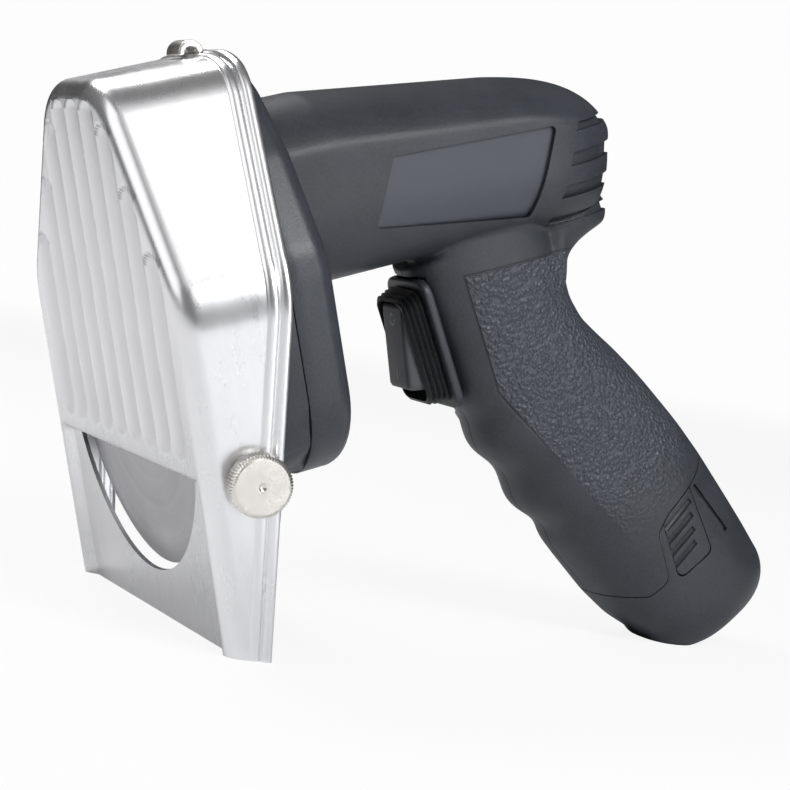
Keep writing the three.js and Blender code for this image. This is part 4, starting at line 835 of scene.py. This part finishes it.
def barrelRing(x, inset, points, scale=1.0):
    form = barrelForm
    middle, high, half, lean = barrelSection(x)
    ring = []
    for i in range(points):
        angle = 2 * math.pi * i / points
        if math.sin(angle) > 0:
            y, z = superRound(angle, half + form["arch"], high, 2.0)
            over = abs(y) - half
            y = math.copysign(half + min(over, 0.0) - form["crease"] * 0.3 * max(0, 1 - abs(over) / form["crease"]), y)
        else:
            y, z = superRound(angle, half, high, form["squareness"])
        reach = math.hypot(y, z)
        shrink = max(0.0, (reach - inset) / reach) * scale
        y, z = y * shrink, z * shrink
        ring.append((x + lean * z, y, middle + z))
    return ring


def barrelPiece(name, inset, step, points, first=barrelForm["start"]):
    # the barrel drawn in by an amount that may change along it
    form = barrelForm
    count = round((form["end"] - first) / step)
    end = form["end"] - inset(form["end"])
    places = [lerp(first, end, i / count) for i in range(count + 1)]
    rings = [barrelRing(x, inset(x), points) for x in places]
    rings += [barrelRing(end, inset(end), points, scale) for scale in (0.93, 0.8, 0.6, 0.35, 0.12)]
    return ringPiece(name, rings)


saddleForm = {"anchor": (147, 20), "flat": 9, "reach": 16,
              "rib": 1.7,
              "outline": [(165.9, 25.2), (166.4, 22), (166, 19.2), (164.6, 17.3), (162, 16.4), (158.6, 15.2), (154.6, 13.4), (151.2, 11.1), (149, 8.6),
                          (147.7, 6.1), (147.2, 2.5), (146, -2), (140, -2), (140, 25.2)]}


def saddlePiece(name, inset=0.0):
    # the hollow sweep from the barrel's end into the back of the grip
    form = saddleForm
    ax, az = form["anchor"][0] - inset, form["anchor"][1]
    rings = []
    for y in np.linspace(-form["reach"], form["reach"], 33):
        beyond = max(0, abs(y) - form["flat"]) / (form["reach"] - form["flat"])
        size = max(0.05, math.sqrt(1 - beyond ** 2))
        rings.append([(lerp(ax, x - inset, size), y, lerp(az, z, size)) for x, z in form["outline"]])
    return ringPiece(name, rings)


def makeGrooves():
    # what is cut between the rear ribs: slabs less the barrel's core
    form = barrelForm
    slabs = []
    for middle, tall in form["grooves"]:
        low, high = middle - tall / 2, middle + tall / 2
        outline = [(141 + (z - 24) * 0.42, z) for z in (high, low)]
        slabs.append(prism("groove", outline + [(220, low), (220, high)], "y", -60, 60))
    core = barrelPiece("core", lambda x: form["grooveDepth"], 2.0, 120, form["start"] - 3)
    return carve(joined(*slabs), core, saddlePiece("core", saddleForm["rib"]))


def makeLabelTool():
    # the recess in the left side, deepest at its rear end
    form = barrelForm
    outline = corners(form["label"][-1:] + form["label"] + form["label"][:1], [form["labelRound"]] * 4, 4)[1:-1]
    tool = prism("label", outline, "y", -60, -8)
    first, last = form["labelSpan"]
    core = barrelPiece("core", lambda x: lerp(*form["labelDepth"], min(1, max(0, (x - first) / (last - first)))), 2.0, 120,
                       form["start"] - 4)
    return carve(tool, core)


def gripStations(step):
    form = gripForm
    table = np.array(form["stations"])
    downs = np.arange(table[0, 0], form["last"] + 0.01, step)
    blur = np.hanning(9) / np.hanning(9).sum()
    columns = []
    for k in (1, 2, 3):
        fine = np.interp(downs, table[:, 0], table[:, k])
        columns.append(np.convolve(np.pad(fine, 4, mode="edge"), blur, "valid"))
    fingers = form["bump"] * np.cos(2 * math.pi * (downs - form["bumpFirst"]) / form["bumpPitch"])
    fingers *= smoothStep(36, 46, downs) * (1 - smoothStep(92, 104, downs))
    front, back, share = columns
    return [(d, f - w, b, lerp(form["topHalf"], form["footHalf"], s))
            for d, f, b, s, w in zip(downs, front, back, share, fingers)]


def gripRing(station, inset, points):
    down, front, back, half = station
    ring = []
    for i in range(points):
        q, y = superRound(2 * math.pi * i / points, (back - front) / 2 - inset, half - inset, barrelForm["squareness"])
        ring.append(tuple(gripPoint(down, q + (front + back) / 2, y)))
    return ring


def gripPiece(name, inset=0.0, open_end=False):
    form = gripForm
    stations = gripStations(form["step"] if not open_end else 6)
    if open_end:
        stations = [s for s in stations if s[0] < 112]
        down, front, back, half = stations[-1]
        stations.append((down + 80, front, back, half))
    else:
        down, front, back, half = stations[-1]
        middle = (front + back) / 2 + 1
        for angle in range(6, 90, 6):
            shrink = math.cos(rad(angle))
            stations.append((form["end"] - form["footRound"] + form["footRound"] * math.sin(rad(angle)),
                             middle + (front - middle) * shrink ** 0.8, middle + (back - middle) * shrink ** 0.6,
                             half * shrink ** 0.6))
    return ringPiece(name, [gripRing(station, inset, form["points"] if not open_end else 40) for station in stations])


def belowParting(name, lift):
    form = gripForm
    line = corners([(d - lift, q) for d, q in form["parting"]], form["partingRounds"], 6)
    outline = [tuple(gripPoint(d, q)[k] for k in (0, 2)) for d, q in line + [(400, 45), (400, -40)]]
    return prism(name, outline, "y", -80, 80)


switchForm = {"place": (99.3, -7.2), "lean": 7.5, "frameHalf": (13, 21), "frameThick": 3, "frameRound": 5,
              "rockerHalf": (7.7, 14), "rockerFront": 9, "tilt": 12, "pivot": 2, "bootHeight": 6.6, "bootWall": 2.6,
              "bootTaper": 1.5, "bootRoom": (0.8, 2.2), "pleats": 4, "pleatDepth": 1.1, "fit": 0.3,
              "markUp": 8.6, "markHeight": 0.08}
switchTurn = Matrix.Translation((switchForm["place"][0], 0, switchForm["place"][1])) @ Matrix.Rotation(-rad(switchForm["lean"]), 4, "Y")


def switchBlock(name, low, high, halfWide, bottom, top):
    return prism(name, [(-halfWide, bottom), (halfWide, bottom), (halfWide, top), (-halfWide, top)], "x", low, high, switchTurn)


bodyScrewPlaces = [(123, 62), (125, 28), (158, 38), (146, -7), (116, -35), (158, -26)]


def makeBody():
    skin = joined(barrelPiece("bodySkin", lambda x: 0.0, barrelForm["step"], barrelForm["points"]), gripPiece("gripSkin"),
                  saddlePiece("saddleSkin"))
    applied(skin, "REMESH", mode="VOXEL", voxel_size=0.8 * mm, adaptivity=0.0)
    junction = skin.vertex_groups.new(name="junction")
    toTool = toolToRow.inverted()
    for vertex in skin.data.vertices:
        x, y, z = toTool @ vertex.co
        weight = float(smoothStep(4, 10, z) * (1 - smoothStep(20, 25, z)))
        if weight > 0.01 and x > 84:
            junction.add([vertex.index], weight, "REPLACE")
    applied(skin, "SMOOTH", factor=0.5, iterations=14, vertex_group="junction")
    applied(skin, "SMOOTH", factor=0.5, iterations=2)
    skin.vertex_groups.clear()
    room = barrelPiece("room", lambda x: barrelForm["wall"], 4, 64, barrelForm["start"] - 6)
    gripRoom = gripPiece("gripRoom", gripForm["wall"], True)
    land = switchBlock("land", -40, switchForm["frameThick"] + switchForm["fit"], 60, -23, 22)
    well = switchBlock("well", -40, 30, 8.3, -13.8, 13.8)
    carve(skin, belowParting("parting", 0.0), room, gripRoom, land, well)
    carve(skin, makeGrooves())
    carve(skin, makeLabelTool())
    return skin


def shellHalf(body, side, name):
    half = copied(body, name)
    gap = 0.15 * mm
    sliced(half, (0, side * gap, 0), (0, -side, 0))
    if side > 0:
        for x, z in bodyScrewPlaces:
            ring = [(x + 3.5 * math.cos(a), z + 3.5 * math.sin(a)) for a in np.linspace(0, 2 * math.pi, 33)[:-1]]
            carve(half, prism("screwHole", ring, "y", screwSeat[(x, z)] - 0.3, 60))
    return smoothed(half, 32)


screwSeat = {}
for i, place in enumerate(bodyScrewPlaces):
    screwSeat[place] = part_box(f"body_screw_{i + 1}")[1].y / mm - 2.2

body = makeBody()
print("body skin", len(body.data.polygons))
for side, word in ((-1, "left"), (1, "right")):
    dressed(shellHalf(body, side, f"bodyShell_{word}"), moulded, "housing", "plastic", f"body_shell_{word}")
bpy.data.objects.remove(body)
for i in range(1, 7):
    screw = smoothed(nodeCopy(f"body_screw_{i}", f"bodyScrew_{i}"), 50)
    dressed(screw, darkSteel, "housing", "dark_steel", f"body_screw_{i}")
print("body made")


def makeSwitchFrame():
    form = switchForm
    plate = prism("switchFrame", roundBox(*form["frameHalf"], form["frameRound"], 8), "x", 0, form["frameThick"], switchTurn)
    wide, high = form["rockerHalf"]
    carve(plate, prism("opening", roundBox(wide + 1, high + 2, 2), "x", -1, form["frameThick"] + 1, switchTurn))
    return smoothed(beveled(plate, 0.9, 4, 40), 40)


def makeBoot():
    # bellows between the frame and the rocker
    form = switchForm
    wide, high = (half + room for half, room in zip(form["rockerHalf"], form["bootRoom"]))
    steps = form["pleats"] * 8
    rows = []
    for i in range(steps + 1):
        share = i / steps
        fold = 0.5 - 0.5 * math.cos(2 * math.pi * form["pleats"] * share)
        swell = form["bootWall"] - form["pleatDepth"] * (1 - fold) - form["bootTaper"] * share
        rows.append((-form["fit"] - form["bootHeight"] * share, roundBox(wide + swell, high + swell, 4, 8)))
    inner = roundBox(wide, high, 2.6, 8)
    rows += [(-form["fit"] - form["bootHeight"], inner), (-form["fit"], inner), rows[0]]
    rings = [[(x, y, z) for y, z in ring + ring[:1]] for x, ring in rows]
    return smoothed(gridPiece("switchBoot", rings, False, switchTurn), 50)


def rockerTurn():
    pivot = Matrix.Translation((switchForm["pivot"], 0, 0))
    return switchTurn @ pivot @ Matrix.Rotation(rad(switchForm["tilt"]), 4, "Y") @ pivot.inverted()


def makeRocker():
    form = switchForm
    wide, high = form["rockerHalf"]
    front = form["rockerFront"]
    drawn = [(-front, 2.2), (-front + 0.12, 1.5), (-front + 0.5, 0.95), (-front + 1.2, 0.6), (-front * 0.6, 0.2),
             (-front * 0.3, 0), (0, 0)]
    rings = [[(x, y, z) for y, z in roundBox(wide - inset, high - inset, 2.4 - min(inset, 1.2), 8)] for x, inset in drawn]
    rocker = ringPiece("switchRocker", rings, rockerTurn())
    return smoothed(rocker, 40)


def makeMarks():
    # a ring above for off, a bar below for on
    form = switchForm
    face, raised = -form["rockerFront"], form["markHeight"]
    at = rockerTurn()
    turns = [2 * math.pi * i / 40 for i in range(41)]
    radii = [(r, face - raised * lift) for r, lift in ((1.15, -1), (1.15, 1), (1.65, 1), (1.65, -1), (1.15, -1))]
    ring = [[(x, r * math.cos(a), form["markUp"] + 1.25 * r * math.sin(a)) for a in turns] for r, x in radii]
    off = gridPiece("switchMark_off", ring, False, at)
    bar = [(y, z - form["markUp"]) for y, z in ((-0.28, -2), (0.28, -2), (0.28, 2), (-0.28, 2))]
    on = prism("switchMark_on", bar, "x", face - raised, face + raised, at)
    return [smoothed(off, 40), smoothed(on, 40)]


dressed(makeSwitchFrame(), plain, "housing", "plastic", "switch_frame")
dressed(makeRocker(), rockerRubber, "rocker", "rubber", "switch_rocker")
for mark in makeMarks():
    dressed(mark, markPaint, "rocker", "rubber")
boot = makeBoot()
boot.data.materials.append(rubber)
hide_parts("switch_boot")
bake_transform(boot)
print("switch made")

batteryForm = {"slot": ((108.6, 17.1), (129.4, 18.7)), "slotWidth": 1.7, "slotDepth": 1.5, "stemHalf": (10.7, 20.7), "stemRound": 6, "stemTop": 71.7, "stemEnd": 130.9, "cellMiddle": -0.5,
               "cellApart": 10, "boreRadius": 9.5, "boreEnd": 137.3}
latchForm = {"corners": [(130, -5), (130, 10), (104, 16), (105, 2)], "thick": 4, "press": 1.8, "round": 2.5, "seam": 0.4,
             "grooves": 4, "grooveFirst": (112.9, 0.4), "grooveStep": (4.2, -2.1), "grooveSpan": (-0.5, 12.6),
             "grooveSlant": -0.14, "grooveRadius": 1.15}
gripTurn = Matrix.LocRotScale(gripPoint(0, 0), Matrix((gripDown, (0, 1, 0), -gripBack)).transposed(), None)


def gripSide(down, back):
    # the half width of the grip at a place
    station = min(gripStations(gripForm["step"]), key=lambda entry: abs(entry[0] - down))
    _, front, rear, half = station
    share = abs(back - (front + rear) / 2) / ((rear - front) / 2)
    return half * (1 - share ** barrelForm["squareness"]) ** (1 / barrelForm["squareness"])


def latchBlock(name, side, inset, deeper):
    form = latchForm
    around = form["corners"]
    middle = Vector([sum(corner[k] for corner in around) / len(around) for k in range(2)])
    around = [tuple(Vector(corner) + (middle - Vector(corner)).normalized() * inset * 1.4) for corner in around]
    start = tuple((a + b) / 2 for a, b in zip(around[0], around[3]))
    line = corners([start] + around + [start], [form["round"]] * 4, 6)[:-1]
    outline = [tuple(gripPoint(d, q)[k] for k in (0, 2)) for d, q in line]
    low = gripForm["footHalf"] - form["thick"] - deeper
    return prism(name, outline, "y", *sorted((side * low, side * 40)))


def batterySlot(name, side):
    # a narrow slot behind the latch
    form = batteryForm
    (topDown, topBack), (lowDown, lowBack) = form["slot"]
    half = form["slotWidth"] / 2
    outline = [gripPoint(d, q) for d, q in ((topDown, topBack - half), (lowDown, lowBack - half), (lowDown, lowBack + half),
                                            (topDown, topBack + half))]
    low = gripSide((topDown + lowDown) / 2, (topBack + lowBack) / 2) - form["slotDepth"]
    return prism(name, [(point.x, point.z) for point in outline], "y", *sorted((side * low, side * 40)))


def makeBattery():
    form = batteryForm
    case = gripPiece("batteryCase")
    carve(case, belowParting("parting", -gripForm["seam"]), how="INTERSECT")
    beveled(case, 0.5, 2, 50)
    outline = [(y, z - form["cellMiddle"]) for y, z in roundBox(*form["stemHalf"], form["stemRound"])]
    carve(case, prism("stem", outline, "x", form["stemTop"], form["stemEnd"], gripTurn), how="UNION")
    for side in (-1, 1):
        carve(case, latchBlock("pocket", side, -latchForm["seam"], latchForm["press"] + latchForm["seam"]))
    for side in (-1, 1):
        carve(case, batterySlot("slot", side))
    radius = form["boreRadius"]
    for step in (-1, 1):
        back = form["cellMiddle"] + step * form["cellApart"]
        circle = [(radius * math.cos(a), radius * math.sin(a) - back) for a in np.linspace(0, 2 * math.pi, 49)[:-1]]
        carve(case, prism("bore", circle, "x", 40, form["boreEnd"], gripTurn))
    sliced(case, (0, 0, 0), (0, 0, -1))
    return smoothed(tidyMesh(case), 35)


def makeLatch(side, name):
    form = latchForm
    latch = latchBlock(name, side, 0, 0)
    carve(latch, gripPiece("skin"), belowParting("parting", -gripForm["seam"] - 0.05), how="INTERSECT")
    for i in range(form["grooves"]):
        down, start = (first + step * i for first, step in zip(form["grooveFirst"], form["grooveStep"]))
        low, high = (start + reach for reach in form["grooveSpan"])
        ends = [gripPoint(down + form["grooveSlant"] * (q - low), q) + Vector((0, side * (gripSide(down, q) + 0.25), 0))
                for q in (low, high)]
        along = (ends[1] - ends[0]).normalized()
        turn = Matrix.LocRotScale(ends[0], Vector((1, 0, 0)).rotation_difference(along), None)
        circle = [(form["grooveRadius"] * math.cos(a), form["grooveRadius"] * math.sin(a)) for a in np.linspace(0, 2 * math.pi, 17)[:-1]]
        carve(latch, prism("groove", circle, "x", 0, (ends[1] - ends[0]).length, turn))
    return smoothed(beveled(latch, 0.35, 2, 40), 40)


dressed(makeBattery(), moulded, "battery", "plastic", "battery_case")
for side, word in ((-1, "left"), (1, "right")):
    dressed(makeLatch(side, f"batteryLatch_{word}"), plain, f"battery_latch_{word}", "plastic", f"battery_latch_{word}")
print("battery made")

# what lies inside keeps its CAD shape, with softened edges and its own finish
innerNodes = [
    # node, finish, body, slot
    ("blade_hub", steel, "blade", "steel"), ("blade_screw", steel, "blade", "steel"),
    ("spindle", darkSteel, "blade", "dark_steel"), ("spindle_gear", darkSteel, "blade", "dark_steel"),
    ("idler_gear", darkSteel, "idler", "dark_steel"), ("idler_pin", steel, "housing", "steel"),
    ("spindle_bearing_front", steel, "housing", "steel"), ("spindle_bearing_rear", steel, "housing", "steel"),
    ("spindle_seal", rubber, "housing", "rubber"), ("motor_pinion", darkSteel, "rotor", "dark_steel"),
    ("motor_rotor", darkSteel, "rotor", "dark_steel"), ("motor_can", steel, "housing", "steel"),
    ("motor_magnet_upper", magnetStone, "housing", "magnet"), ("motor_magnet_lower", magnetStone, "housing", "magnet"),
    ("motor_end_cap", plain, "housing", "plastic"), ("switch_body", plain, "housing", "plastic"),
    ("battery_cap", plain, "battery", "plastic"), ("battery_cell_1", wrap, "battery", "wrap"),
    ("battery_cell_2", wrap, "battery", "wrap"), ("terminal_block", plain, "housing", "plastic"),
    ("terminal_contact_left", brass, "housing", "brass"), ("terminal_contact_right", brass, "housing", "brass"),
]
for node, finish, body, slot in innerNodes:
    words = node.split("_")
    inner = smoothed(nodeCopy(node, words[0] + "".join(word.title() for word in words[1:])), 40)
    dressed(inner, finish, body, slot, node)
print("inside dressed")

# Stage

stageForm = {"half": 4.0, "back": 2.2, "rise": 3.0, "round": 1.2}
photoView = {"place": (-0.32597, -0.60164, 0.11892), "right": (0.88268, -0.44827, 0.14114),
             "up": (-0.09354, 0.12675, 0.98752), "lens": 100.25}
lamps = [
    # name, size across and along, place, aimed at, watts, colour
    ("keySoftbox", (0.36, 0.14), (-0.19, -0.47, 0.92), (-0.07, -0.04, 0.14), 0.3, (1, 0.99, 0.98)),
    ("ceilingPanel", (1.2, 0.9), (-0.3, -0.7, 1.25), (-0.05, 0, 0.1), 1.7, (1, 1, 1)),
    ("frontFloorLamp", (0.5, 0.5), (0.15, -0.9, 0.75), (0.08, -0.75, 0), 8.6, (0.98, 0.99, 1)),
    ("sidePanel", (0.6, 0.4), (0.5, -1.05, 0.26), (0.02, 0, 0.1), 2.5, (0.95, 0.98, 1)),
    ("noseSoftbox", (0.7, 0.9), (-1.1, -0.1, 0.6), (-0.1, 0, 0.08), 2.4, (1, 1, 1)),
    ("backFloorLamp", (0.5, 0.4), (-0.27, 0.6, 0.8), (-0.24, 0.45, 0), 4.9, (1, 1, 1)),
]


def makeStage():
    form = stageForm
    arc = [(form["back"] + form["round"] * math.sin(rad(a)), form["round"] * (1 - math.cos(rad(a)))) for a in range(0, 91, 6)]
    line = [(-form["half"], 0), (0, 0)] + arc + [(form["back"] + form["round"], form["rise"])]
    pick()
    bpy.ops.mesh.primitive_grid_add(x_subdivisions=1, y_subdivisions=len(line) - 1, size=1)
    floor = bpy.context.object
    floor.name = floor.data.name = "floorSweep"
    # the sweep rises behind the tool as the camera sees it
    away = -Vector(photoView["right"]).cross(Vector(photoView["up"]))
    away = Vector((away.x, away.y, 0)).normalized()
    across = Vector((away.y, -away.x, 0))
    points = [away * d + across * w * form["half"] + Vector((0, 0, z)) for d, z in line for w in (-1, 1)]
    floor.data.vertices.foreach_set("co", [value for point in points for value in point])
    smoothed(floor, 60)
    material, shader, start, place = newMaterial("paleSweep")
    path = start.tree.nodes.new("ShaderNodeLightPath")
    seen = Wire(start.tree, path.outputs["Is Camera Ray"])
    # pale near the tool, and darker far behind it, where only the tool's reflections see it
    x, y, z = place.parts()
    far = (x * x + y * y + z * z).ramp(0.5, 3.0)
    link(shader, start, Base_Color=mixed(start, far, rgba(0.86, 0.86, 0.865), rgba(0.3, 0.3, 0.305)))
    shader.inputs["Roughness"].default_value = 0.8
    glow = start.node("ShaderNodeEmission", None, {"Color": rgba(1, 1, 1), "Strength": 1.0})
    blend = start.node("ShaderNodeMixShader", None, {0: seen * (0.88 + far * 0.1), 1: Wire(start.tree, shader.outputs[0]), 2: glow})
    output = next(node for node in start.tree.nodes if node.type == "OUTPUT_MATERIAL")
    start.tree.links.new(blend.socket, output.inputs["Surface"])
    floor.data.materials.append(material)


def makeLamps():
    for name, (wide, high), place, aim, power, colour in lamps:
        pick()
        bpy.ops.object.light_add(type="AREA", location=place)
        lamp = bpy.context.object
        lamp.name = lamp.data.name = name
        lamp.data.shape = "RECTANGLE"
        lamp.data.size, lamp.data.size_y = wide, high
        lamp.data.energy = power
        lamp.data.color = colour
        lamp.rotation_mode = "QUATERNION"
        lamp.rotation_quaternion = (Vector(aim) - Vector(place)).to_track_quat("-Z", "Y")


def makeWorld():
    world = bpy.data.worlds.new("paleRoom")
    bpy.context.scene.world = world
    world.use_nodes = True
    background = next(node for node in world.node_tree.nodes if node.type == "BACKGROUND")
    start = Wire(world.node_tree)
    path = world.node_tree.nodes.new("ShaderNodeLightPath")
    seen = Wire(world.node_tree, path.outputs["Is Camera Ray"])
    world.node_tree.links.new((0.16 + seen * 0.84).socket, background.inputs["Strength"])
    background.inputs["Color"].default_value = rgba(1, 1, 1)


def makeCamera():
    view = photoView
    right, up = Vector(view["right"]).normalized(), Vector(view["up"])
    back = right.cross(up).normalized()
    turn = Matrix((right, back.cross(right), back)).transposed()
    camera = bpy.data.cameras.new("photoCamera")
    camera.lens = view["lens"]
    camera.sensor_width = 36
    camera.clip_start = 0.01
    holder = bpy.data.objects.new("photoCamera", camera)
    bpy.context.scene.collection.objects.link(holder)
    holder.matrix_world = Matrix.Translation(view["place"]) @ turn.to_4x4()
    bpy.context.scene.camera = holder


makeStage()
makeLamps()
makeWorld()
makeCamera()
bpy.context.scene.view_settings.view_transform = "Standard"
print("stage made")
